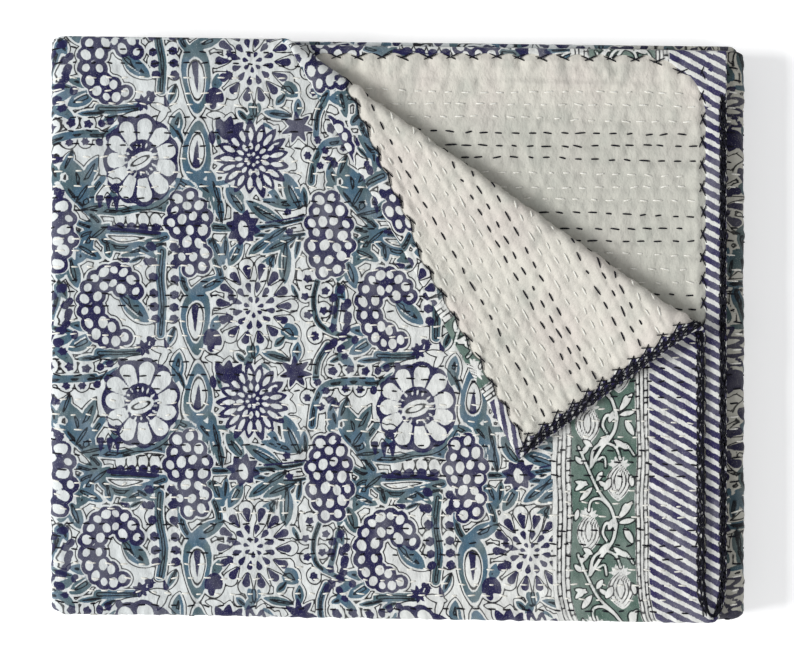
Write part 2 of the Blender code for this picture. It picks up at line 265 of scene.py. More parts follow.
    def middle(self, along: Array, across: Array) -> Array:
        """Folded places of the middle of the cloth.

        Args:
            along: Flat distances along the runner.
            across: Flat distances across it.

        Returns:
            Places, one row of x, y and z each.
        """
        edges = [self.upper_arm + step * self.lag_ease for step in (-2, -1, 0)]
        edges += [self.lower_from + step * self.lag_ease for step in (0, 1, 2)]
        upper = np.interp(across, edges, [1.0, 0.93, 0.72, 0.28, 0.07, 0.0])
        travelled = along + self.lag(along) * upper
        x, z, up_x, up_z = self.strip(travelled)
        y, offset = self.half_fold(across)
        first_turn = self.starts()[1] - self.turn_length
        on_top = (travelled < first_turn - 0.01) & (across < self.upper_arm)
        turned_x, turned_y, height = self.turned_corner(x, y)
        x, y = np.where(on_top, turned_x, x), np.where(on_top, turned_y, y)
        turns = np.array(self.starts()[1:-1]) - self.turn_length / 2
        nearest = np.abs(travelled[:, None] - turns).min(axis=1)
        y = y * (1 - self.tuck * (1 - smooth(nearest / self.tuck_reach)))
        y += np.interp(travelled, [0.0, *turns, self.starts()[-1]], self.drifts)
        sway = 0.55 * MM * ripple(x, y, 0.11, 5) * smooth((first_turn - travelled) / 0.05)
        sway *= smooth((self.upper_arm - across) / 0.03)
        z = z + offset * up_z + np.where(on_top, height + sway, 0.0)
        return np.stack([x + offset * up_x - self.centre[0], y - self.centre[1], z], axis=-1)

    def place(self, along: Array, across: Array, height: Array) -> Array:
        """Folded places at heights above the middle of the cloth, square to its surface."""
        step = 2e-5
        by_along = self.middle(along + step, across) - self.middle(along - step, across)
        by_across = self.middle(along, across + step) - self.middle(along, across - step)
        normal = np.cross(by_along, by_across)
        normal /= np.linalg.norm(normal, axis=-1, keepdims=True)
        return self.middle(along, across) + normal * np.asarray(height)[:, None]

    def lay(self, along: Array, across: Array, height: Array) -> Array:
        """Folded places of a cloth's surface, pressed flat where it would bulge below the floor."""
        points = self.place(along, across, height)
        points[:, 2] = np.maximum(points[:, 2], self.floor_gap)
        return points


@dataclass(frozen=True)
class Quilting:
    """The rows of running stitch and the puckers that they pull into the cloth."""

    row_pitch: float = 8.8 * MM
    stitch_pitch: float = 10.7 * MM
    stitch_length: float = 6.0 * MM
    dark_rows: tuple[int, ...] = (0, 1, 2)
    group: int = 6
    flap_dark_rows: tuple[int, ...] = (4, 8, 9, 10, 14, 15, 16, 20, 21, 22)
    bare_rows: int = 3

    def wander(self, along: Array, row: Array) -> Array:
        """How far a row strays sideways from its straight line: slow waves with a row's phase."""
        slow = np.sin(along * 21.0 + row * 1.7) + 0.6 * np.sin(along * 47.0 + row * 4.1)
        return 0.75 * MM * slow

    def relief(self, along: Array, across: Array, ridge: float) -> Array:
        """Height of the puckers: low on a row, highest between two, dented at each stitch.

        A power of a sine across the rows is varied along them, and fine cross wrinkles are added.
        """
        row = np.round(across / self.row_pitch)
        off_row = (across - self.wander(along, row)) / self.row_pitch
        pillow = np.abs(np.sin(math.pi * off_row)) ** 1.2
        beat = np.sin(2 * math.pi * along / self.stitch_pitch + np.floor(off_row) * 2.4)
        uneven = 0.78 + 0.22 * beat + 0.25 * ripple(along, across, 0.030, 11)
        wrinkle = ripple(along, across, 0.0070, 12, stretch=2.2)
        crease = ripple(along, across, 0.014, 13, stretch=2.8)
        return ridge * (pillow * uneven + 0.34 * wrinkle * (0.4 + pillow) + 0.45 * crease)


class Ink(Enum):
    """The layers of the print, as positions in a canvas."""

    NAVY = 0
    TEAL = 1
    OUTLINE = 2


@dataclass
class Canvas:
    """One repeat of a block print, drawn as signed distances on a wrapping grid.

    Distances are in steps of the drawing grid, negative inside a shape. One step is 0.65 mm.
    """

    width: float
    height: float
    fine: float = 0.75
    layers: list[Array] = field(init=False)

    def __post_init__(self) -> None:
        """Starts every layer far outside any shape."""
        self.columns = round(self.width / self.fine)
        self.rows = round(self.height / self.fine)
        self.layers = [np.full((self.rows, self.columns), OUTSIDE) for _ in Ink]

    def stamp(
        self,
        ink: Ink,
        x: float,
        y: float,
        reach: float,
        shape: Shape,
        turn: float = 0.0,
        cut: bool = False,
    ) -> None:
        """Joins a shape to a layer, or cuts it out, round one place.

        Args:
            ink: The layer.
            x: The shape's centre across the repeat.
            y: The shape's centre down the repeat.
            reach: Half the side of the square that holds the shape.
            shape: Signed distance, as a function of the place from the centre.
            turn: Degrees by which the shape is turned clockwise.
            cut: Whether the shape is taken out.
        """
        columns = np.arange(math.floor((x - reach) / self.fine), math.ceil((x + reach) / self.fine))
        rows = np.arange(math.floor((y - reach) / self.fine), math.ceil((y + reach) / self.fine))
        over, down = np.meshgrid(columns * self.fine - x, rows * self.fine - y)
        cosine, sine = math.cos(math.radians(turn)), math.sin(math.radians(turn))
        found = shape(over * cosine + down * sine, down * cosine - over * sine)
        spot = np.ix_(rows % self.rows, columns % self.columns)
        if cut:
            np.maximum.at(self.layers[ink.value], spot, -found)
        else:
            np.minimum.at(self.layers[ink.value], spot, found)

    def sample(self, x: Array, y: Array) -> Array:
        """Reads all layers at places in grid steps, wrapping, by bilinear interpolation."""
        over, down = x / self.fine, y / self.fine
        column, row = np.floor(over).astype(int), np.floor(down).astype(int)
        right, low = over - column, down - row
        read = []
        for layer in self.layers:
            here = layer[row % self.rows, column % self.columns] * (1 - right)
            here += layer[row % self.rows, (column + 1) % self.columns] * right
            below = layer[(row + 1) % self.rows, column % self.columns] * (1 - right)
            below += layer[(row + 1) % self.rows, (column + 1) % self.columns] * right
            read.append(here * (1 - low) + below * low)
        return np.stack(read, axis=-1)


def oval(wide: float, tall: float) -> Shape:
    """An ellipse: the scaled radius less one, times the shorter half axis."""
    return lambda x, y: (np.hypot(x / wide, y / tall) - 1) * min(wide, tall)


def lens(length: float, half: float) -> Shape:
    """A leaf along x from its foot at 0: the distance to a spine less a sine-shaped half width."""

    def distance(x: Array, y: Array) -> Array:
        share = np.clip(x / length, 0.0, 1.0)
        over = x - share * length
        return np.hypot(over, y) - half * np.sin(math.pi * share) ** 0.7

    return distance


def drop(length: float, half: float, power: float = 0.8) -> Shape:
    """A drop along x, its point at 0: the distance to a spine less a power of the share along."""

    def distance(x: Array, y: Array) -> Array:
        share = np.clip(x / length, 0.0, 1.0)
        return np.hypot(x - share * length, y) - half * share**power

    return distance


def star(points: int, outer: float, inner: float) -> Shape:
    """A star: the radius less one that swings between two values with the angle."""

    def distance(x: Array, y: Array) -> Array:
        swing = np.abs(np.mod(np.arctan2(y, x) * points / (2 * math.pi), 1.0) - 0.5) * 2
        return (np.hypot(x, y) - (inner + (outer - inner) * swing**1.3)) * 0.8

    return distance


def scalloped(wide: float, tall: float, lobes: int, depth: float) -> Shape:
    """An ellipse whose rim swells into lobes: its scaled radius less 1 and a rectified sine."""

    def distance(x: Array, y: Array) -> Array:
        turn = np.arctan2(y / tall, x / wide)
        return (np.hypot(x / wide, y / tall) - 1 - depth * np.abs(np.sin(lobes * turn / 2))) * wide

    return distance


def ring(shape: Shape, half: float) -> Shape:
    """A line of a given half width along a shape's outline."""
    return lambda x, y: np.abs(shape(x, y)) - half


def stroke(points: Points, first: float, last: float) -> Shape:
    """A line through points, which tapers: the distance to each span less its half width."""
    spans = list(zip(points, points[1:]))

    def distance(x: Array, y: Array) -> Array:
        found = np.full_like(x, OUTSIDE)
        for number, ((ax, ay), (bx, by)) in enumerate(spans):
            run_x, run_y = bx - ax, by - ay
            share = ((x - ax) * run_x + (y - ay) * run_y) / (run_x**2 + run_y**2)
            share = np.clip(share, 0.0, 1.0)
            half = first + (last - first) * (number + share) / len(spans)
            found = np.minimum(found, np.hypot(x - ax - run_x * share, y - ay - run_y * share) - half)
        return found

    return distance


def curve(points: Points, steps: int = 5) -> list[tuple[float, float]]:
    """Points on a smooth curve through a few places, each span a cubic."""
    spots = np.array([points[0], *points, points[-1]], dtype=float)
    found = []
    for a, b, c, d in zip(spots, spots[1:], spots[2:], spots[3:]):
        for t in np.arange(steps) / steps:
            bend = 2 * b + (c - a) * t + (2 * a - 5 * b + 4 * c - d) * t**2
            found.append(tuple((bend + (3 * b - a - 3 * c + d) * t**3) / 2))
    found.append(tuple(spots[-1]))
    return found


def centred(points: Points, margin: float) -> tuple[float, float, float, Points]:
    """A smooth line about its own middle: the middle, half its square's side, and the line."""
    spots = curve(points)
    x = sum(spot[0] for spot in spots) / len(spots)
    y = sum(spot[1] for spot in spots) / len(spots)
    local = [(px - x, py - y) for px, py in spots]
    return x, y, max(math.hypot(*spot) for spot in local) + margin, local


def bearing(x: float, y: float, tip_x: float, tip_y: float) -> tuple[float, float]:
    """Degrees of turn and length of the line from a foot to a tip."""
    return math.degrees(math.atan2(tip_y - y, tip_x - x)), math.hypot(tip_x - x, tip_y - y)


def around(x: float, y: float, out: float, squash: float, turn: float) -> tuple[float, float]:
    """The place at a distance and a turn in degrees from a centre, on a slightly tall circle."""
    angle = math.radians(turn)
    return x + out * math.cos(angle), y + out * squash * math.sin(angle)


def keyhole(wide: float, tall: float, flip: int) -> Shape:
    """An oval that narrows towards one end."""
    return lambda x, y: (np.hypot(x / (wide * (1 - 0.28 * flip * y / tall)), y / tall) - 1) * wide


def widened(shape: Shape, by: float) -> Shape:
    """A shape grown by a distance, or shrunk where it is negative."""
    return lambda x, y: shape(x, y) - by


@dataclass
class FloralRepeat:
    """The field's repeat: blossoms, clusters, berries and leaves, placed on the drawing grid."""

    width: float = 276.0
    height: float = 243.0

    def draw(self) -> Canvas:
        """Draws every motif.

        Returns:
            The finished canvas.
        """
        self.canvas = Canvas(self.width, self.height)
        self.vines()
        self.leaves()
        self.berries()
        self.cluster(190, 234, 20, 42, -7)
        self.cluster(329, 235, 25, 46, -3)
        self.crescent(112, 309)
        self.leaf(121, 300, 150, 325, 8.0)
        self.peony(141, 407)
        self.daisy(254, 307)
        self.spiky_blossom(252, 404)
        self.pods()
        self.fillers()
        return self.canvas

    def line(self, ink: Ink, points: Points, first: float, last: float) -> None:
        """Stamps a smooth tapering line, a teal one with a thin contour a little outside it."""
        x, y, reach, local = centred(points, 8)
        stamp = self.canvas.stamp
        stamp(ink, x, y, reach, stroke(local, first, last))
        if ink is Ink.TEAL:
            stamp(Ink.OUTLINE, x, y, reach, stroke(local, first + 1.9, last + 1.7))
            stamp(Ink.OUTLINE, x, y, reach, stroke(local, first * 0.35, last * 0.3), cut=True)

    def leaf(self, x: float, y: float, tip_x: float, tip_y: float, half: float) -> None:
        """Stamps a teal leaf from foot to tip, with a dark vein and a contour round it."""
        turn, length = bearing(x, y, tip_x, tip_y)
        stamp = self.canvas.stamp
        stamp(Ink.TEAL, x, y, length + 8, lens(length, half), turn)
        stamp(Ink.OUTLINE, x, y, length + 12, lens(length + 3, half + 2.4), turn)
        vein = lens(length * 0.8, half * 0.28)
        stamp(Ink.OUTLINE, x, y, length + 8, vein, turn, cut=True)
        if half > 5.5:
            slit = stroke([(length * 0.30, half * 0.45), (length * 0.72, half * 0.36)], 0.9, 0.6)
            stamp(Ink.TEAL, x, y, length + 8, slit, turn, cut=True)

    def ringed_star(self, x: float, y: float, points: int = 5, size: float = 5.0) -> None:
        """Stamps a small navy star inside a thin round line."""
        self.canvas.stamp(Ink.NAVY, x, y, 9, star(points, size, size * 0.62), 17 * (x % 7))
        self.canvas.stamp(Ink.OUTLINE, x, y - 1, 12, oval(size + 2.4, size + 3.2))

    def vines(self) -> None:
        """Stems of the field: teal lines along and down the repeat, with pale gaps between."""
        teal, navy = Ink.TEAL, Ink.NAVY
        for points, first, last in (
            ([(54, 186), (66, 208), (76, 226), (92, 232)], 3.2, 3.4),
            ([(102, 182), (90, 199), (89, 214), (98, 226)], 3.4, 3.6),
            ([(99, 214), (118, 216), (134, 213), (152, 209), (172, 212)], 4.2, 3.4),
            ([(150, 209), (164, 203), (180, 188)], 3.2, 3.4),
            ([(96, 232), (112, 235), (136, 236), (166, 238)], 3.6, 2.8),
            ([(98, 234), (104, 245), (120, 252), (140, 249), (166, 240)], 4.4, 3.6),
            ([(96, 236), (84, 240), (74, 252), (62, 276)], 4.2, 3.4),
            ([(202, 229), (216, 230), (232, 229)], 4.6, 3.0),
            ([(206, 238), (214, 252), (222, 264)], 3.6, 2.8),
            ([(256, 229), (280, 226), (304, 221)], 3.2, 2.0),
            ([(256, 236), (282, 240), (304, 237)], 2.6, 1.8),
            ([(161, 254), (159, 280), (163, 308), (161, 338)], 4.4, 4.2),
            ([(181, 262), (182, 284), (190, 298)], 4.0, 3.4),
            ([(214, 262), (219, 280), (204, 286), (192, 296)], 3.4, 4.2),
            ([(62, 290), (60, 308), (54, 330)], 2.6, 2.8),
            ([(319, 280), (314, 302), (319, 326), (348, 338)], 2.8, 2.6),
            ([(326, 344), (318, 360), (316, 380)], 3.0, 3.0),
            ([(372, 380), (340, 382), (324, 388), (315, 408), (312, 426)], 2.6, 3.8),
            ([(54, 386), (76, 383), (100, 383), (117, 374)], 3.2, 2.6),
            ([(100, 356), (120, 356), (138, 355)], 5.0, 4.0),
            ([(196, 424), (210, 430), (232, 428)], 3.4, 2.4),
            ([(216, 378), (219, 390), (228, 396)], 2.6, 1.8),
            ([(250, 362), (247, 374), (252, 384)], 4.4, 3.0),
        ):
            self.line(teal, points, first, last)
        self.canvas.stamp(teal, 92, 231, 16, oval(9, 8))
        self.line(navy, [(108, 232), (128, 234), (160, 236)], 2.4, 1.6)
        self.line(navy, [(264, 224), (286, 221), (306, 218)], 1.1, 0.9)

    def leaves(self) -> None:
        """Leaves round the vines, each by its foot, its tip and its half width."""
        for row in (
            (92, 222, 71, 166, 10.5), (80, 192, 97, 162, 5.5), (84, 212, 62, 186, 4.0),
            (92, 238, 78, 268, 7.2), (80, 236, 58, 262, 5.0), (68, 262, 62, 284, 4.6),
            (164, 246, 120, 261, 6.0), (106, 246, 110, 262, 4.6), (138, 250, 156, 262, 3.2),
            (212, 226, 205, 192, 5.8), (222, 226, 217, 198, 4.6), (244, 216, 226, 192, 6.6),
            (232, 200, 238, 182, 4.6), (212, 240, 221, 262, 5.0), (226, 236, 224, 262, 3.8),
            (242, 242, 228, 268, 6.2), (284, 226, 245, 204, 6.8), (303, 208, 261, 201, 5.0),
            (300, 206, 284, 174, 7.2), (272, 196, 262, 182, 4.0), (286, 230, 262, 247, 5.4),
            (272, 240, 248, 257, 5.4), (296, 241, 262, 257, 5.4), (274, 260, 255, 290, 8.0),
            (286, 246, 285, 286, 6.8), (300, 238, 296, 262, 3.0), (224, 281, 194, 296, 6.4),
            (98, 334, 70, 330, 5.0), (96, 340, 70, 354, 6.8), (76, 340, 58, 350, 4.0),
            (104, 360, 78, 362, 3.0), (118, 362, 102, 368, 3.0), (72, 398, 63, 422, 4.2),
            (52, 412, 58, 432, 3.2), (174, 386, 179, 356, 6.0), (184, 392, 176, 372, 2.6),
            (212, 335, 222, 318, 5.2), (282, 327, 298, 342, 8.0), (286, 340, 276, 350, 4.0),
            (292, 362, 263, 356, 4.4), (297, 364, 299, 344, 4.4), (254, 362, 254, 342, 7.0),
            (246, 366, 236, 356, 3.4), (262, 366, 274, 378, 3.0), (300, 454, 285, 422, 7.6),
            (306, 452, 304, 430, 3.4), (331, 408, 337, 430, 3.4), (336, 400, 328, 416, 2.6),
            (176, 424, 200, 440, 6.0), (196, 424, 214, 444, 4.4), (214, 436, 210, 414, 4.2),
            (220, 452, 211, 420, 4.6), (228, 430, 244, 446, 3.4), (142, 262, 128, 268, 2.4),
            (338, 284, 344, 304, 3.6), (300, 300, 292, 284, 2.4), (176, 330, 168, 350, 3.4),
            (346, 262, 356, 292, 6.8), (352, 250, 378, 262, 5.6), (366, 244, 386, 228, 5.2),
            (352, 206, 366, 184, 5.0), (356, 214, 386, 208, 4.6), (334, 352, 352, 368, 4.4),
            (122, 434, 106, 448, 4.2), (176, 440, 166, 452, 3.6), (268, 430, 280, 446, 3.6),
            (110, 196, 124, 186, 3.0), (138, 190, 156, 196, 3.0), (64, 356, 52, 362, 3.0),
        ):
            self.leaf(*row)
        for y in (170, 182, 194):
            self.canvas.stamp(Ink.TEAL, 76, y, 14, lens(13, 3.2), 200 + (y - 170))
            self.canvas.stamp(Ink.TEAL, 84, y + 6, 14, lens(12, 3.0), 318)

    def berries(self) -> None:
        """Rows of berries and little ringed stars along the stems."""
        dot = self.canvas.stamp
        for number, y in enumerate((250, 266, 281, 297, 310, 322)):
            for x, lean in ((150, 1.4), (173, 0.7)):
                px = x + lean * number * (0.9 if x < 160 else 0.5)
                dot(Ink.NAVY, px, y, 8, star(6, 5.0, 4.2), 9.0 * number)
                dot(Ink.OUTLINE, px - 1, y - 3, 13, oval(6.8, 8.0))
        for x, y in (
            (65, 292), (57, 300), (71, 306), (56, 312), (70, 318), (68, 329), (64, 336), (55, 342),
        ):
            dot(Ink.NAVY, x, y, 9, oval(4.0, 4.8), 30)
        for x, y in ((309, 278), (306, 297), (308, 317), (314, 337), (326, 292), (323, 312), (331, 328)):
            self.ringed_star(x, y)
        for x, y in ((343, 310), (345, 322), (357, 304), (358, 318), (326, 348), (338, 348), (352, 340)):
            dot(Ink.NAVY, x, y, 8, oval(3.8, 4.4), 20)
        for x, y in ((56, 372), (72, 370), (88, 372)):
            self.ringed_star(x, y, 5, 5.4)
        for x, y in ((101, 371), (110, 368), (121, 366), (117, 378), (98, 390), (108, 385)):
            dot(Ink.NAVY, x, y, 8, oval(3.8, 4.2))
        for x, y in ((69, 390), (84, 390), (331, 371), (318, 384), (308, 400), (326, 393), (321, 409)):
            self.ringed_star(x, y, 6, 4.8)
        for x, y in ((54, 402), (60, 407), (287, 213), (289, 235), (152, 251), (146, 266)):
            dot(Ink.NAVY, x, y, 9, star(5, 4.8, 3.0), 40)
        for number in range(4):
            x = 120 + 12.2 * number
            dot(Ink.NAVY, x, 231 - 0.3 * number, 9, oval(4.8, 4.4))
            dot(Ink.OUTLINE, x, 223, 13, oval(5.8, 8.0))
        for x, y in ((100, 214), (109, 215), (117, 216)):
            dot(Ink.NAVY, x, y, 16, drop(13, 3.6), 268)

    def cluster(self, x: float, y: float, wide: float, tall: float, turn: float) -> None:
        """Stamps an upright cluster of grapes, in staggered rows inside an oval.

        Args:
            x: Its centre.
            y: Its centre.
            wide: Half its width.
            tall: Half its height.
            turn: Degrees that it leans.
        """
        angle = math.radians(turn)
        spots = []
        for row in range(-4, 5):
            for column in range(-4, 5):
                over = (column + 0.5 * (row % 2)) * 12.0 + 1.1 * math.sin(row * 2.3 + column)
                down = row * 11.8 + 1.5 * math.sin(column * 2.1 + row)
                if math.hypot(over / (wide - 2.0), down / (tall - 2.5)) < 1.0:
                    px = x + over * math.cos(angle) - down * math.sin(angle)
                    py = y + over * math.sin(angle) + down * math.cos(angle)
                    spots.append((px, py, row * 3.1 + column * 1.7))
        self.grapes(spots)

    def crescent(self, x: float, y: float) -> None:
        """Stamps the curled cluster: two arcs of grapes round a heart that opens to the right."""
        spots = []
        for wide, tall, first, last, count in ((26.0, 35.0, 60.0, 340.0, 14), (13.5, 21.5, 86.0, 318.0, 7)):
            for step, angle in enumerate(np.radians(np.linspace(first, last, count))):
                spots.append((x + wide * math.cos(angle), y + tall * math.sin(angle), step * 2.3))
        self.grapes(spots)

    def grapes(self, spots: Sequence[tuple[float, float, float]]) -> None:
        """Stamps grapes at places, each with a seed: joined navy discs, each with a pale heart."""
        stamp = self.canvas.stamp
        for px, py, _ in spots:
            stamp(Ink.NAVY, px, py, 18, oval(8.2, 8.4))
            stamp(Ink.OUTLINE, px, py, 20, oval(10.6, 10.8))
            stamp(Ink.TEAL, px, py, 16, oval(9.0, 9.0), cut=True)
        for px, py, seed in spots:
            size = 1 + 0.16 * math.sin(seed)
            lean = 40 * math.sin(seed * 1.3)
            stamp(Ink.NAVY, px, py, 9, oval(3.9 * size, 4.8 * size), lean, cut=True)

    def peony(self, x: float, y: float) -> None:
        """Stamps the open blossom: pale petals cut from a scalloped disc, round a hatched eye."""
        stamp = self.canvas.stamp
        wide, tall, petals = 37.0, 43.0, 11
        for ink in (Ink.NAVY, Ink.TEAL):
            stamp(ink, x, y, 54, oval(wide + 1, tall + 1), cut=True)
        stamp(Ink.OUTLINE, x, y, 60, oval(wide + 7, tall + 6), cut=True)
        stamp(Ink.NAVY, x, y, 56, scalloped(wide, tall, petals, 0.07))
        for step in range(petals):
            angle = math.pi * (2 * step + 1) / petals
            rim = 1 / math.hypot(math.cos(angle) / wide, math.sin(angle) / tall)
            petal = drop(rim - 19.2 + 1.0 * math.sin(step * 2.2), 7.7, 0.5)
            px, py = x + 11 * math.cos(angle), y + 11 * math.sin(angle)
            stamp(Ink.NAVY, px, py, 48, petal, math.degrees(angle), cut=True)
        stamp(Ink.NAVY, x + 1, y - 1, 30, oval(18.0, 19.5))
        for step in range(17):
            turn = 360 * step / 17
            angle = math.radians(turn)
            px, py = x + 12.5 * math.cos(angle), y + 11.5 * math.sin(angle)
            slit = lens(6.5 + 2.0 * math.sin(step * 2.9), 1.05)
            stamp(Ink.NAVY, px, py, 14, slit, turn + 14 * math.sin(step * 1.7), cut=True)
        stamp(Ink.NAVY, x, y + 1, 24, oval(14.0, 7.6), -24, cut=True)
        stamp(Ink.OUTLINE, x, y + 1, 20, oval(12.2, 5.6), -24, cut=True)
        stamp(Ink.OUTLINE, x, y + 1, 20, oval(9.4, 3.0), -24)

    def daisy(self, x: float, y: float) -> None:
        """Stamps the pale daisy: rings of dark drops, the outer ones in thin-lined petals."""
        stamp = self.canvas.stamp
        stamp(Ink.TEAL, x, y, 48, oval(37, 41), cut=True)
        stamp(Ink.OUTLINE, x, y, 52, oval(39, 43), cut=True)
        for ring_of, (count, out, length, half) in enumerate(
            ((14, 22, 12, 4.3), (12, 11.5, 7.5, 3.2), (7, 3.5, 4.6, 2.3))
        ):
            for step in range(count):
                turn = 360 * (step + 0.37 * ring_of) / count
                px, py = around(x, y, out, 1.10, turn)
                stamp(Ink.NAVY, px, py, 20, drop(length, half), turn)
                if ring_of == 0:
                    stamp(Ink.OUTLINE, px, py, 30, drop(length + 3.4, half + 3.4), turn)
                elif ring_of == 1:
                    stamp(Ink.OUTLINE, px, py, 20, drop(length + 1.5, half + 1.8), turn, cut=True)

    def spiky_blossom(self, x: float, y: float) -> None:
        """Stamps the dense blossom: rings of pointed petals, navy with pale slits."""
        stamp = self.canvas.stamp
        stamp(Ink.TEAL, x, y, 44, oval(35, 36), cut=True)
        stamp(Ink.NAVY, x, y, 30, oval(21, 21))
        for count, out, length, half in ((17, 15, 23, 5.0), (13, 8, 15, 3.6)):
            for step in range(count):
                turn = 360 * (step + 0.5 * (count % 2)) / count
                px, py = around(x, y, out, 1.06, turn)
                stamp(Ink.NAVY, px, py, 34, lens(length + 2 * math.sin(step * 2.7), half), turn)
                stamp(Ink.OUTLINE, px, py, 36, lens(length + 5, half + 2.6), turn)
        for count, out, length, half in ((17, 18, 14, 2.5), (13, 9.5, 8.5, 2.1), (7, 3.5, 4.5, 1.7)):
            for step in range(count):
                turn = 360 * (step + 0.5 * (count % 2)) / count
                px, py = around(x, y, out, 1.06, turn)
                stamp(Ink.NAVY, px, py, 20, lens(length, half), turn, cut=True)

    def pods(self) -> None:
        """Stamps the two keyhole pods with their dark hearts, the cap and the tulip."""
        stamp = self.canvas.stamp
        for x, y, wide, tall, flip in ((196, 326, 11.5, 27, 1), (197, 396, 11, 25, -1)):
            hole = keyhole(wide, tall, flip)
            stamp(Ink.TEAL, x, y, 38, hole, cut=True)
            stamp(Ink.NAVY, x, y, 38, hole, cut=True)
            stamp(Ink.TEAL, x, y, 40, ring(hole, 2.3))
            stamp(Ink.OUTLINE, x, y, 40, widened(hole, 4.4))
            stamp(Ink.OUTLINE, x, y, 40, widened(hole, -3.8), cut=True)
            stamp(Ink.NAVY, x, y + flip * 12, 30, drop(26, 3.6), -91 * flip)
        stamp(Ink.NAVY, 213, 343, 18, lambda a, b: np.maximum(oval(9.5, 11)(a, b), b - 5))
        stamp(Ink.NAVY, 211, 350, 12, oval(3.6, 5.0))
        stamp(Ink.OUTLINE, 213, 343, 20, oval(12, 13.5))
        for turn, length, half in ((248, 24, 5.2), (282, 24, 5.6), (314, 26, 5.0)):
            stamp(Ink.NAVY, 224, 386, 32, lens(length, half), turn)
            stamp(Ink.OUTLINE, 224, 386, 34, lens(length + 4, half + 2.4), turn)
        stamp(Ink.NAVY, 212, 391, 16, lens(14, 3.8), 262)

    def fillers(self) -> None:
        """Stamps the small blossoms, stars, drops and bare contours that close the gaps."""
        stamp = self.canvas.stamp
        stamp(Ink.NAVY, 243, 229, 24, star(8, 18.0, 12.0), 12)
        stamp(Ink.OUTLINE, 243, 229, 28, star(8, 22.0, 15.0), 12)
        stamp(Ink.NAVY, 243, 230, 22, oval(4.6, 8.6), -12, cut=True)
        stamp(Ink.NAVY, 297, 373, 26, star(7, 17.0, 7.5), 8)
        stamp(Ink.OUTLINE, 297, 373, 28, star(7, 20.5, 11), 8)
        stamp(Ink.NAVY, 143, 351, 18, star(7, 9.6, 4.8))
        for x, y, turn in ((154, 338, 100), (164, 341, 75), (158, 345, 200), (118, 262, 20), (226, 314, 60)):
            stamp(Ink.NAVY, x, y, 14, drop(9.5, 2.8), turn)
        for x, y in ((314, 336), (116, 190), (66, 356), (230, 300), (338, 440), (276, 392)):
            self.ringed_star(x, y, 6, 4.4)
        for x, y, turn, length, half in (
            (292, 250, 88, 34, 4.4), (268, 266, 112, 34, 5.0), (52, 345, 350, 30, 4.6),
            (150, 352, 12, 22, 3.6), (168, 352, 118, 22, 3.6), (118, 432, 200, 24, 4.8),
            (280, 400, 40, 22, 6.0), (282, 424, 350, 20, 5.0), (204, 360, 8, 20, 4.0),
            (96, 262, 78, 22, 4.4), (300, 268, 80, 26, 4.2), (130, 300, 60, 20, 3.4),
        ):
            stamp(Ink.OUTLINE, x, y, length + 8, lens(length, half), turn)


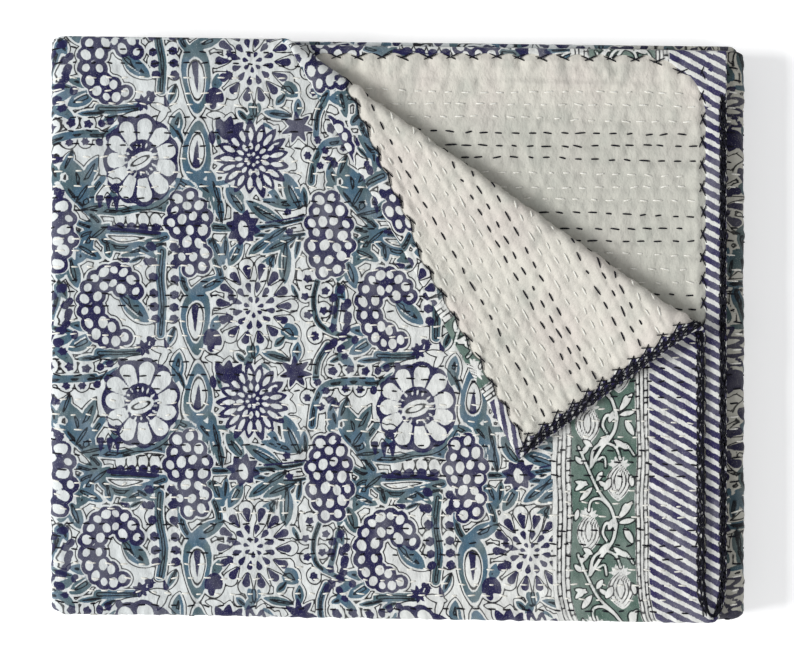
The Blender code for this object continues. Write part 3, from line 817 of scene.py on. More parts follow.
@dataclass
class BorderRepeat:
    """The end border's repeat: a pale vine with hanging buds on green, between ladder lines."""

    width: float = 160.0
    height: float = 108.0
    green_from: float = 18.0
    green_to: float = 82.5

    def draw(self) -> Canvas:
        """Draws the band, the vine and its buds, with 0 where the field's print ends.

        Returns:
            The finished canvas.
        """
        canvas = Canvas(self.width, self.height)
        middle = (self.green_from + self.green_to) / 2
        half = (self.green_to - self.green_from) / 2
        for y in range(0, 108, 3):
            canvas.stamp(Ink.TEAL, middle, y, half + 9, lambda a, b: np.abs(a) - half)
        for points, first, last in (
            ([(25, 12), (36, 36), (46, 56), (58, 72), (64, 90)], 1.2, 1.8),
            ([(64, 90), (60, 106), (48, 122), (38, 140)], 1.8, 1.6),
            ([(38, 32), (40, 16), (50, 8), (62, 12), (67, 24)], 1.7, 1.2),
            ([(62, 12), (72, 9), (80, 20)], 1.3, 1.0),
            ([(58, 72), (48, 64), (38, 66), (35, 76)], 1.6, 1.1),
            ([(44, 26), (51, 22), (53, 32)], 1.3, 1.0),
            ([(64, 92), (54, 88), (50, 98), (54, 106)], 1.6, 1.2),
        ):
            self.pale(canvas, points, first, last)
        self.bud(canvas, 66, 28)
        self.bud(canvas, 35, 79)
        for row in (
            (34, 46, 22, 56, 3.0), (36, 50, 22, 47, 2.6), (40, 52, 26, 66, 3.0), (30, 30, 22, 22, 2.6),
            (52, 56, 58, 44, 3.4), (66, 84, 80, 66, 3.4), (66, 88, 82, 84, 2.8), (72, 92, 80, 108, 3.6),
            (70, 80, 74, 68, 2.6), (44, 120, 56, 108, 3.0), (56, 96, 60, 84, 2.8), (28, 20, 36, 10, 2.8),
            (60, 112, 74, 122, 3.0), (46, 46, 54, 52, 2.4), (40, 12, 30, 6, 2.6), (50, 36, 44, 46, 2.6),
            (80, 52, 78, 40, 2.4), (24, 74, 21, 86, 2.4),
        ):
            self.frond(canvas, *row)
        for x in (4.6, 8.6, 13.0, 17.6, 83.4, 87.2, 91.0, 94.8):
            for y in range(0, 108, 3):
                canvas.stamp(Ink.OUTLINE, x, y, 10, lambda a, b: np.abs(a) - 0.22)
        for step in range(9):
            for x, wide, down in ((15.3, 2.0, 0.0), (6.6, 1.8, 6.0), (92.9, 1.7, 3.0), (85.3, 1.7, 9.0)):
                y = step * 12 + down
                canvas.stamp(Ink.OUTLINE, x, y, 10, stroke([(-wide, 0), (wide, 0)], 0.1, 0.1))
        return canvas

    def frond(self, canvas: Canvas, x: float, y: float, tip_x: float, tip_y: float, half: float) -> None:
        """Cuts a small pale leaf out of the green, with a dark line along one side."""
        turn, length = bearing(x, y, tip_x, tip_y)
        canvas.stamp(Ink.TEAL, x, y, 30, lens(length, half * 0.82), turn, cut=True)
        canvas.stamp(Ink.OUTLINE, x, y, 30, lens(length + 1, half * 0.82 + 1.0), turn)

    def pale(self, canvas: Canvas, points: Points, first: float, last: float) -> None:
        """Cuts a smooth line out of the green and outlines it."""
        x, y, reach, local = centred(points, 6)
        canvas.stamp(Ink.TEAL, x, y, reach, stroke(local, first * 0.8, last * 0.8), cut=True)
        canvas.stamp(Ink.OUTLINE, x, y, reach, stroke(local, first * 0.8 + 0.9, last * 0.8 + 0.9))

    def bud(self, canvas: Canvas, x: float, y: float) -> None:
        """Cuts a hanging bud, lined from its crown to its tip, with a crown of rays."""
        canvas.stamp(Ink.TEAL, x, y, 48, lens(38, 12.4), 90, cut=True)
        for down, long, half in ((1, 35, 11.4), (4, 28, 7.6), (7, 21, 3.8)):
            canvas.stamp(Ink.OUTLINE, x, y + down, 46, ring(lens(long, half), 0.2), 90)
        for turn in (196, 222, 248, 270, 292, 318, 344):
            canvas.stamp(Ink.TEAL, x, y + 4, 18, lens(12, 1.6), turn, cut=True)


@dataclass
class RunnerPrint:
    """The whole printed design as a function of the flat cloth."""

    pack: FoldedPack
    grid: float = 0.65 * MM
    end_at: float = 704.9
    edge_at: float = 40.3
    border_at: float = 553.0
    border_down: float = 432.0
    border_limit: float = 120.0

    def __post_init__(self) -> None:
        """Draws both repeats."""
        self.field_canvas = FloralRepeat().draw()
        self.border_canvas = BorderRepeat().draw()

    def chart(self, along: Array, across: Array) -> tuple[Array, Array]:
        """Places on the drawing grid, mirrored beyond the middle so that both ends match."""
        length = self.pack.starts()[-1]
        from_end = np.minimum(along, length - along)
        scale = (1 - self.pack.upper_lag / self.pack.lag_length) / self.grid
        right = self.end_at - from_end * scale
        down = self.edge_at + across / self.grid
        return right, down

    def inks(self, along: Array, across: Array) -> Array:
        """Signed distances to the print's navy, teal and contour, in millimetres.

        Args:
            along: Flat distances along.
            across: Flat distances across.

        Returns:
            One row of three distances each.
        """
        right, down = self.chart(along, across)
        bent = right + 1.6 * ripple(along, across, 0.070, 21)
        low = down + 1.6 * ripple(along, across, 0.060, 22)
        found = self.field_canvas.sample(bent, low)
        in_border = right + 1.0 * ripple(along, across, 0.050, 23) - self.border_at
        inward = np.clip(in_border, 0, self.border_limit)
        border = self.border_canvas.sample(inward, down - self.border_down)
        found = np.where((in_border > 0)[:, None], border, found)
        return found * self.grid / MM


def build_mesh(
    name: str, points: Array, faces: Array, uv: Array | None, facts: dict[str, Array]
) -> bpy.types.Object:
    """Puts arrays into a mesh object, leaving out points that no face uses.

    Args:
        name: The piece's name.
        points: One row of x, y and z for each point.
        faces: One row of point numbers for each face.
        uv: One row of u and v for each point, or None for a piece of one plain material.
        facts: Vector attributes by name, one row for each point.

    Returns:
        The object, smooth shaded.
    """
    used, faces = np.unique(faces, return_inverse=True)
    faces = faces.reshape(-1, 4)
    mesh = bpy.data.meshes.new(name)
    mesh.vertices.add(len(used))
    mesh.vertices.foreach_set("co", points[used].ravel())
    mesh.loops.add(faces.size)
    mesh.loops.foreach_set("vertex_index", faces.ravel())
    mesh.polygons.add(len(faces))
    mesh.polygons.foreach_set("loop_start", np.arange(0, faces.size, 4))
    if uv is not None:
        layer = mesh.uv_layers.new(name="OFBake")
        layer.data.foreach_set("uv", uv[used][faces.ravel()].ravel())
    for fact, values in facts.items():
        stored = mesh.attributes.new(fact, "FLOAT_VECTOR", "POINT")
        stored.data.foreach_set("vector", values[used].ravel())
    mesh.update(calc_edges=True)
    mesh.validate()
    mesh.shade_smooth()
    piece = bpy.data.objects.new(name, mesh)
    bpy.context.scene.collection.objects.link(piece)
    return piece


def grid_faces(rows: int, columns: int, flip: bool) -> Array:
    """Quads of a grid of points, turned over where asked."""
    number = np.arange(rows * columns).reshape(rows, columns)
    corners = [number[:-1, :-1], number[1:, :-1], number[1:, 1:], number[:-1, 1:]]
    return np.stack(corners[::-1] if flip else corners, axis=-1).reshape(-1, 4)


def stations(*spans: tuple[float, float, float]) -> Array:
    """Places along a line: each span's start, end and widest step, joined without doubles."""
    runs = [
        np.linspace(low, high, max(2, math.ceil((high - low) / step) + 1)) for low, high, step in spans
    ]
    return np.unique(np.round(np.concatenate(runs), 7))


class Side(Enum):
    """Which side of the cloth a surface is on."""

    PRINTED = 1
    REVERSE = -1

    @property
    def node(self) -> str:
        """The solid that stands for this side."""
        return "printed_face" if self is Side.PRINTED else "plain_backing"

    @property
    def slot(self) -> str:
        """The side's material slot."""
        return "printed_cotton" if self is Side.PRINTED else "plain_cotton"

    @property
    def other(self) -> "Side":
        """The opposite side."""
        return Side(-self.value)


class Edge(Enum):
    """The runner's four edges."""

    BACK = "open edge of the upper arm"
    FAR = "open edge of the lower arm"
    NEAR_END = "short end on top"
    FAR_END = "short end below"


@dataclass
class QuiltedCloth:
    """The two plies of the runner: panels of face and backing, and the hem round the edge."""

    pack: FoldedPack
    plies: Plies
    quilting: Quilting
    design: RunnerPrint
    edge_fade: float = 4.5 * MM
    scallop_pitch: float = 15.0 * MM
    scallop_depth: float = 3.6 * MM
    puff: float = 1.35 * MM
    puff_at: float = 2.8 * MM
    puff_breadth: float = 4.2 * MM
    pleat: float = 0.75 * MM
    pleat_reach: float = 11.0 * MM
    reverse_shift: float = 0.004
    reverse_ridge: float = 1.2
    fold_across: float = 0.7265
    fold_from: float = 0.066
    fold_to: float = 0.152
    fold_height: float = 1.5 * MM

    @property
    def length(self) -> float:
        """The flat runner's length."""
        return self.pack.starts()[-1]

    def lip_reach(self, edge: Edge, at: Array) -> Array:
        """Width of the hem's lip at places along an edge: straight between measured places."""
        tables = {
            Edge.BACK: (
                [0.0, 0.134, 0.148, 0.182, 0.222, 0.276, 0.340, 0.400, self.length],
                [11.0, 11.0, 16.5, 19.5, 25.0, 28.5, 22.0, 12.0, 10.0],
            ),
            Edge.FAR: (
                [0.0, 0.014, 0.016, 0.0195, 0.024, 0.0305, 0.0416, 0.052, 0.160, 0.220, 0.300, self.length],
                [38.0, 38.0, 30.0, 24.0, 18.6, 13.4, 7.6, 5.4, 5.8, 6.4, 8.0, 10.0],
            ),
            Edge.NEAR_END: ([0.0, 0.350, 0.400, self.pack.width], [8.0, 8.0, 15.5, 15.5]),
            Edge.FAR_END: ([0.0, self.pack.width], [12.0, 12.0]),
        }
        places, widths = tables[edge]
        return np.interp(at, places, widths) * MM

    def scallops(self, at: Array) -> Array:
        """How the lip's edge swings between two whip stitches: a rounded arch, 0 at each stitch."""
        return np.abs(np.sin(math.pi * at / self.scallop_pitch)) ** 0.7

    def surface(self, along: Array, across: Array, side: Side) -> Array:
        """Height of a ply's outer surface above the middle of the cloth, puckers included."""
        inset = np.minimum(np.minimum(along, self.length - along), across)
        inset = np.minimum(inset, self.pack.width - across) - self.plies.rim_radius
        fade = smooth(inset / self.edge_fade)
        if side is Side.PRINTED:
            return self.plies.face + self.quilting.relief(along, across, self.plies.ridge) * fade
        back = self.lip_reach(Edge.BACK, along)
        far = self.pack.width - self.lip_reach(Edge.FAR, along)
        end = self.lip_reach(Edge.NEAR_END, across)
        clear = np.minimum(np.minimum(across - back, far - across), along - end)
        fade = smooth((clear - 0.5 * MM) / self.edge_fade)
        bell = np.exp(-(((clear - self.puff_at) / self.puff_breadth) ** 2))
        puff = self.puff * bell * (clear > -3 * MM)
        pleat = self.pleat * np.exp(-np.maximum(clear, 0.0) / self.pleat_reach) * fade
        beside_end = (along - end) < np.minimum(across - back, far - across)
        swing = self.scallops(np.where(beside_end, across, along))
        ridge = self.reverse_ridge * self.plies.ridge
        rise = self.quilting.relief(along + self.reverse_shift, across, ridge) * fade
        rise += puff * swing + pleat * swing**2
        return self.plies.backing - rise - self.pressed_fold(along, across)

    def pressed_fold(self, along: Array, across: Array) -> Array:
        """Height of the short pressed fold in the plain ply: a bell across a bowed line, steep on
        its lower side."""
        bowed = across - self.fold_across + 0.9 * MM * np.sin((along - 0.073) * 43.0)
        window = smooth((along - self.fold_from) / 0.012) * smooth((self.fold_to - along) / 0.020)
        breadth = np.where(bowed < 0, 1.3 * MM, 4.5 * MM)
        return self.fold_height * window * np.exp(-((bowed / breadth) ** 2))

    def rim_height(self, inset: Array) -> Array:
        """Height of the printed side at a distance in from an edge: a quarter circle, then flat."""
        rim = self.plies.rim_radius
        short = np.clip(rim - inset, 0.0, rim)
        return self.plies.rim_middle + np.sqrt(rim**2 - short**2)

    def facts(self, along: Array, across: Array, printed: bool) -> dict[str, Array]:
        """Attributes that the materials read: the flat place in millimetres, and the inks."""
        right, _ = self.design.chart(along, across)
        into_border = (right - self.design.border_at) * self.design.grid / MM
        found = {"flat": np.stack([along / MM, across / MM, into_border], axis=-1)}
        if printed:
            found["inks"] = self.design.inks(along, across)
        return found

    def panel(
        self,
        name: str,
        along: Array,
        across: Array,
        side: Side,
        keep: Shape | None = None,
        depth: float = 0.0,
    ) -> bpy.types.Object:
        """Makes a stretch of one ply's outer surface.

        Args:
            name: The piece's name.
            along: Grid lines along the runner.
            across: Grid lines across it.
            side: Printed face or plain reverse.
            keep: Which faces stay, from their flat centres; all where it is left out.
            depth: How far the surface is sunk, where a finer panel covers it.

        Returns:
            The piece.
        """
        flat_along, flat_across = (grid.ravel() for grid in np.meshgrid(along, across, indexing="ij"))
        height = self.surface(flat_along, flat_across, side) - side.value * depth
        points = self.pack.lay(flat_along, flat_across, height)
        faces = grid_faces(len(along), len(across), side is Side.REVERSE)
        if keep is not None:
            faces = faces[keep(flat_along[faces].mean(axis=1), flat_across[faces].mean(axis=1))]
        spread = [(flat_along - along[0]) / np.ptp(along), (flat_across - across[0]) / np.ptp(across)]
        uv = 0.01 + 0.98 * np.stack(spread, axis=-1)
        facts = self.facts(flat_along, flat_across, side is Side.PRINTED)
        return build_mesh(name, points, faces, uv, facts)

    def hem(self, name: str, edge: Edge, lines: Array, lift: float = 0.0) -> bpy.types.Object:
        """Makes the hem along one edge: the rounded rim, the lip on the back and its scallops.

        The profile goes half way round a circle, runs inward to the scalloped edge, puffing a
        little, and dips to the backing.

        Args:
            name: The piece's name.
            edge: Which edge.
            lines: Places along the edge.
            lift: How far the lip lies above the usual height, where two cross.

        Returns:
            The piece.
        """
        rim = self.plies.rim_radius
        rim_lines, lip_lines, dips = 8, 12, [0.25, 0.7, 1.2, 1.75]
        run = np.concatenate([np.zeros(rim_lines), np.linspace(0.08, 1.0, lip_lines), np.ones(3)])
        turned = np.full(len(run) - rim_lines, math.pi)
        arc = np.concatenate([np.linspace(0, math.pi, rim_lines), turned])
        dip = np.concatenate([np.zeros(len(run) - len(dips)), dips]) * MM
        at, run = np.meshgrid(lines, run, indexing="ij")
        reach = self.lip_reach(edge, at) - self.scallop_depth * (self.scallops(at) - 0.5)
        fold = 0.28 * MM * ripple(at, run * 0.02, 0.013, 31) * np.sin(math.pi * run)
        inset = rim * (1 - np.sin(arc)) + run * (reach - rim)
        height = self.plies.rim_middle + rim * np.cos(arc) - fold + dip - lift * smooth(run * 5)
        height -= 0.30 * MM * np.sin(math.pi * np.minimum(run, 1.0)) * self.scallops(at)
        beyond = rim - rim * arc - run * (reach - rim)
        flip = edge in (Edge.BACK, Edge.FAR_END)
        width, length = self.pack.width, self.length
        along = {Edge.NEAR_END: inset, Edge.FAR_END: length - inset}.get(edge, at)
        across = {Edge.BACK: inset, Edge.FAR: width - inset}.get(edge, at)
        seen_along = {Edge.NEAR_END: beyond, Edge.FAR_END: length - beyond}.get(edge, at)
        seen_across = {Edge.BACK: beyond, Edge.FAR: width - beyond}.get(edge, at)
        points = self.pack.lay(along.ravel(), across.ravel(), height.ravel())
        faces = grid_faces(*at.shape, flip)
        spread = np.linspace(0.01, 0.99, at.shape[1])[None, :] + 0 * at
        uv = np.stack([0.01 + 0.98 * (at - lines[0]) / np.ptp(lines), spread], axis=-1)
        facts = self.facts(seen_along.ravel(), seen_across.ravel(), True)
        return build_mesh(name, points, faces, uv.reshape(-1, 2), facts)


class Thread(Enum):
    """The two quilting threads."""

    DARK = "dark_thread"
    LIGHT = "light_thread"


@dataclass
class Needlework:
    """Every stitch on the cloth: running rows and the whip stitches round the hem."""

    cloth: QuiltedCloth
    thickness: float = 1.45 * MM
    binding: float = 1.10 * MM
    lash_lean: float = 6.4
    whip_back: float = -5.2 * MM
    whip_forward: float = 4.4 * MM
    seed: int = 7

    def strokes(
        self, name: str, start: Array, end: Array, arch: float, thickness: float
    ) -> bpy.types.Object:
        """Makes short bowed threads, each a four-sided tube of four rings, thinner at its ends.

        A thread on the underside is lifted until it rests on the floor.

        Args:
            name: The piece's name.
            start: One row of distance along, across and height for each thread's start.
            end: The same for its end.
            arch: How far a thread bows away from the cloth.
            thickness: The threads' diameter.

        Returns:
            All the threads as one piece.
        """
        share = np.array([0.0, 0.28, 0.72, 1.0])
        path = start[:, None] + (end - start)[:, None] * share[None, :, None]
        away = np.sign(path[..., 2])
        path[..., 2] += away * np.array([-0.35 * MM, arch, arch, -0.35 * MM])
        flat = path.reshape(-1, 3)
        pack = self.cloth.pack
        middle = pack.place(flat[:, 0], flat[:, 1], flat[:, 2]).reshape(path.shape)
        above = pack.place(flat[:, 0], flat[:, 1], flat[:, 2] + 0.1 * MM).reshape(path.shape)
        normal = (above - middle) / (0.1 * MM)
        tangent = np.gradient(middle, axis=1)
        tangent /= np.linalg.norm(tangent, axis=-1, keepdims=True)
        side = np.cross(tangent, normal)
        radius = thickness / 2 * np.array([0.55, 1.0, 1.0, 0.55])[None, :, None]
        rings = [
            middle + radius * (side * math.cos(turn) + 0.8 * normal * math.sin(turn))
            for turn in np.radians([45, 135, 225, 315])
        ]
        points = np.stack(rings, axis=2)
        points[..., 2] -= np.minimum(points[..., 2].min(axis=(1, 2)), 0.0)[:, None, None]
        points = points.reshape(-1, 3)
        first = (np.arange(len(start)) * 16)[:, None, None]
        ring_of, corner = np.meshgrid(np.arange(3), np.arange(4), indexing="ij")
        here, after = ring_of * 4 + corner, ring_of * 4 + (corner + 1) % 4
        walls = np.stack([here, here + 4, after + 4, after], axis=-1).reshape(-1, 4)
        caps = np.array([[0, 1, 2, 3], [15, 14, 13, 12]])
        faces = (first + np.concatenate([walls, caps])[None]).reshape(-1, 4)
        return build_mesh(name, points, faces, None, {})

    def rows(
        self, zones: Sequence[tuple[float, float, float, float]], side: Side, thread: Thread
    ) -> tuple[Array, Array]:
        """Places running stitches in rows.

        Args:
            zones: Where they show: distances along from and to, and across from and to.
            side: The side that they show on.
            thread: Which thread.

        Returns:
            The starts and ends of the stitches, as rows of along, across and height.
        """
        quilting, cloth = self.cloth.quilting, self.cloth
        dice = np.random.default_rng(self.seed + (side is Side.REVERSE))
        length = quilting.stitch_length * (1.0 if side is Side.REVERSE else 0.86)
        starts, ends = [], []
        for along_from, along_to, across_from, across_to in zones:
            for row in range(1, round(cloth.pack.width / quilting.row_pitch)):
                across = row * quilting.row_pitch
                lower = across > cloth.pack.upper_arm
                dark = (row + (1 if lower else 0)) % quilting.group in quilting.dark_rows
                if side is Side.REVERSE and not lower:
                    dark = row in quilting.flap_dark_rows
                bare = quilting.bare_rows * quilting.row_pitch
                if side is Side.REVERSE and cloth.pack.width - across < bare:
                    continue
                count = math.ceil((along_to - along_from) / quilting.stitch_pitch)
                jitter = dice.normal(0, 1, (4, count))
                if not across_from < across < across_to or dark != (thread is Thread.DARK):
                    continue
                at = along_from + (np.arange(count) + dice.uniform(0, 0.6)) * quilting.stitch_pitch
                at = at + 0.7 * MM * jitter[0]
                half = length / 2 * (1 + 0.16 * jitter[1])
                inside = (at - half > along_from) & (at + half < along_to)
                at, half, lean, stray = at[inside], half[inside], jitter[2][inside], jitter[3][inside]
                centre = across + quilting.wander(at, np.full_like(at, row)) + 0.15 * MM * stray
                tilt = 0.35 * MM * lean
                for found, sign in ((starts, -1.0), (ends, 1.0)):
                    height = cloth.surface(at, centre, side)
                    found.append(np.stack([at + sign * half, centre + sign * tilt, height], axis=-1))
        return np.concatenate(starts), np.concatenate(ends)

    def lash(
        self, low: float, high: float, pitch: float, side: Side, bands: Sequence[tuple[float, float]]
    ) -> tuple[Array, Array]:
        """Places long shallow stitches that bind the near end's rim, crossed like a loose rope.

        Args:
            low: Where along the end they begin.
            high: Where they stop.
            pitch: The distance between two crossings.
            side: The side that they lie on.
            bands: For each run of crossings, how far in from the rim it starts and ends, in mm.

        Returns:
            Their starts and ends, as rows of along, across and height.
        """
        dice = np.random.default_rng(self.seed + 9)
        at = np.arange(low, high, pitch)
        starts, ends = [], []
        for band in bands:
            for lean in (1.0, -1.0):
                slip = dice.normal(0, 1.0, (3, len(at)))
                for number, (found, inset) in enumerate(zip((starts, ends), band)):
                    depth = np.maximum(inset + 0.30 * slip[number], 0.1) * MM
                    along = at + ((2 * number - 1) * self.lash_lean * lean + 1.2 * slip[2]) * MM
                    height = self.cloth.rim_height(depth)
                    if side is Side.REVERSE:
                        height = np.full_like(along, self.cloth.plies.lip - 0.45 * MM)
                    found.append(np.stack([depth, along, height], axis=-1))
        return np.concatenate(starts), np.concatenate(ends)

    def bare(self, start: Array, end: Array) -> Array:
        """Which stitches on the reverse lie clear of the hems, and on the flap past its roll."""
        cloth = self.cloth
        clear = np.full(len(start), True)
        for spot in (start, end):
            along, across = spot[:, 0], spot[:, 1]
            back = cloth.lip_reach(Edge.BACK, along)
            far = cloth.pack.width - cloth.lip_reach(Edge.FAR, along)
            near = cloth.lip_reach(Edge.NEAR_END, across)
            clear &= (across > back + 2 * MM) & (across < far - 2 * MM) & (along > near + 2 * MM)
            flap = cloth.pack.past_crease(along, across) > -5 * MM
            clear &= flap | (across > cloth.pack.upper_arm)
        return clear

    def whip(self, edge: Edge, low: float, high: float) -> tuple[Array, Array]:
        """Places whip stitches along the lip of one edge, two crossed threads at each scallop.

        Args:
            edge: Which edge.
            low: Where along the edge they begin.
            high: Where they end.

        Returns:
            Their starts and ends, as rows of along, across and height.
        """
        cloth = self.cloth
        dice = np.random.default_rng(self.seed + 3)
        pitch = cloth.scallop_pitch
        at = np.arange(math.ceil(low / pitch), math.floor(high / pitch) + 1) * pitch
        reach = cloth.lip_reach(edge, at) + 0.5 * cloth.scallop_depth
        starts, ends = [], []
        for lean, outer, inner in ((1.0, -3.6 * MM, 0.5 * MM), (-1.0, -2.8 * MM, 1.1 * MM)):
            slip = dice.normal(0, 0.5 * MM, (2, len(at)))
            for found, step, inset, height in (
                (starts, self.whip_back * lean, outer, cloth.plies.lip - 0.35 * MM),
                (ends, self.whip_forward * lean, inner, cloth.plies.backing - 0.75 * MM),
            ):
                along = at + step + slip[0]
                depth = reach + inset + slip[1]
                far = {Edge.FAR: cloth.pack.width, Edge.FAR_END: cloth.length}.get(edge, 0.0)
                depth = abs(far - depth) if far else depth
                tall = np.full_like(at, height)
                pair = [depth, along] if edge in (Edge.NEAR_END, Edge.FAR_END) else [along, depth]
                found.append(np.stack([*pair, tall], axis=-1))
        return np.concatenate(starts), np.concatenate(ends)


def linear(red: int, green: int, blue: int) -> tuple[float, float, float, float]:
    """Turns a colour of 0 to 255 as seen on a screen into Blender's linear values."""
    shares = [value / 255 for value in (red, green, blue)]
    bent = [share / 12.92 if share <= 0.04045 else ((share + 0.055) / 1.055) ** 2.4 for share in shares]
    return (*bent, 1.0)


@dataclass
class Graph:
    """A node tree with short calls to add and join nodes."""

    tree: bpy.types.NodeTree

    def add(self, kind: str, **values: object) -> bpy.types.Node:
        """Adds a node.

        Args:
            kind: The node's type, without its ShaderNode prefix.
            **values: The node's own settings.

        Returns:
            The node.
        """
        node = self.tree.nodes.new("ShaderNode" + kind)
        for name, value in values.items():
            setattr(node, name, value)
        return node

    def feed(self, socket: bpy.types.NodeSocket, value: object) -> None:
        """Links an output to a socket, or sets the socket to a plain value."""
        if isinstance(value, bpy.types.NodeSocket):
            self.tree.links.new(value, socket)
        else:
            socket.default_value = value

    def math(self, operation: str, first: object, second: object = 0.0, third: object = 0.0) -> object:
        """Adds a sum of two or three values and gives its output."""
        node = self.add("Math", operation=operation)
        for socket, value in zip(node.inputs, (first, second, third)):
            self.feed(socket, value)
        return node.outputs[0]

    def product(self, first: object, second: object) -> object:
        """Multiplies two values and gives the output."""
        return self.math("MULTIPLY", first, second)

    def split(self, place: object) -> Sequence[object]:
        """Gives the three parts of a place."""
        node = self.add("SeparateXYZ")
        self.feed(node.inputs[0], place)
        return node.outputs

    def ramp(
        self, value: object, low: object, high: object, start: float = 0.0, end: float = 1.0
    ) -> object:
        """Eases a value from one range into another and gives the output."""
        node = self.add("MapRange", interpolation_type="SMOOTHSTEP")
        for socket, given in zip(node.inputs, (value, low, high, start, end)):
            self.feed(socket, given)
        return node.outputs[0]

    def mix(self, share: object, first: object, second: object, blend: str = "MIX") -> object:
        """Mixes two colours and gives the output."""
        node = self.add("Mix", data_type="RGBA", blend_type=blend)
        for socket, value in zip((node.inputs[0], node.inputs[6], node.inputs[7]), (share, first, second)):
            self.feed(socket, value)
        return node.outputs[2]

    def noise(
        self, place: object, scale: float, stretch: Sequence[float] = (1, 1, 1), detail: float = 2
    ) -> object:
        """Noise over a place, which may be stretched, and gives its value."""
        mapping = self.add("Mapping")
        self.feed(mapping.inputs["Vector"], place)
        mapping.inputs["Scale"].default_value = stretch
        node = self.add("TexNoise", noise_dimensions="3D")
        self.feed(node.inputs["Vector"], mapping.outputs[0])
        node.inputs["Scale"].default_value = scale
        node.inputs["Detail"].default_value = detail
        return node.outputs[0]

    def principled(
        self, inputs: dict[str, object], height: object = None, bump: dict[str, object] | None = None
    ) -> None:
        """Ends the tree in a Principled shader.

        Args:
            inputs: The shader's inputs by name.
            height: What its bump reads; None leaves the surface smooth.
            bump: The bump's other inputs by name.
        """
        shader = self.add("BsdfPrincipled")
        for name, value in inputs.items():
            self.feed(shader.inputs[name], value)
        if height is not None:
            node = self.add("Bump")
            for name, value in {**bump, "Height": height}.items():
                self.feed(node.inputs[name], value)
            self.feed(shader.inputs["Normal"], node.outputs[0])
        self.feed(self.add("OutputMaterial").inputs["Surface"], shader.outputs[0])


def new_group(name: str, takes: dict[str, object], gives: dict[str, str]) -> tuple[Graph, object, object]:
    """Starts a node group.

    Args:
        name: Its name.
        takes: Its inputs by name, each with the value that it starts at.
        gives: Its outputs by name, each with its socket type.

    Returns:
        The graph, its input node and its output node.
    """
    tree = bpy.data.node_groups.new(name, "ShaderNodeTree")
    for label, value in takes.items():
        kind = "NodeSocketFloat"
        if value is None:
            kind = "NodeSocketVector"
        elif isinstance(value, tuple):
            kind = "NodeSocketColor"
        socket = tree.interface.new_socket(name=label, in_out="INPUT", socket_type=kind)
        if value is not None:
            socket.default_value = value
    for label, kind in gives.items():
        tree.interface.new_socket(name=label, in_out="OUTPUT", socket_type=kind)
    graph = Graph(tree)
    return graph, tree.nodes.new("NodeGroupInput"), tree.nodes.new("NodeGroupOutput")


def weave_group() -> bpy.types.NodeTree:
    """Plain woven cotton: thick and thin threads both ways, and a soft crumple.

    Noise drawn out along the cloth and noise drawn out across it are added, in millimetres of the
    flat cloth. Their sum is the height, and strays from it shade the colour a little.
    """
    graph, taken, given = new_group(
        "woven_cotton",
        {"Place": None, "Slub": 1.0, "Crumple": 1.0},
        {"Height": "NodeSocketFloat", "Shade": "NodeSocketFloat"},
    )
    place = taken.outputs["Place"]
    warp = graph.noise(place, 2.6, (0.16, 1.0, 1.0), 1)
    weft = graph.noise(place, 2.6, (1.0, 0.16, 1.0), 1)
    both = graph.math("ADD", warp, weft)
    threads = graph.product(both, taken.outputs["Slub"])
    crumple = graph.noise(place, 0.13, (1.0, 0.80, 1.0), 3)
    pinch = graph.noise(place, 0.34, detail=2)
    soft = graph.product(graph.math("MULTIPLY_ADD", pinch, 0.26, crumple), taken.outputs["Crumple"])
    height = graph.math("MULTIPLY_ADD", threads, 0.07, soft)
    graph.feed(given.inputs["Height"], height)
    graph.feed(given.inputs["Shade"], graph.ramp(both, 0.70, 1.30, 0.93, 1.04))
    return graph.tree


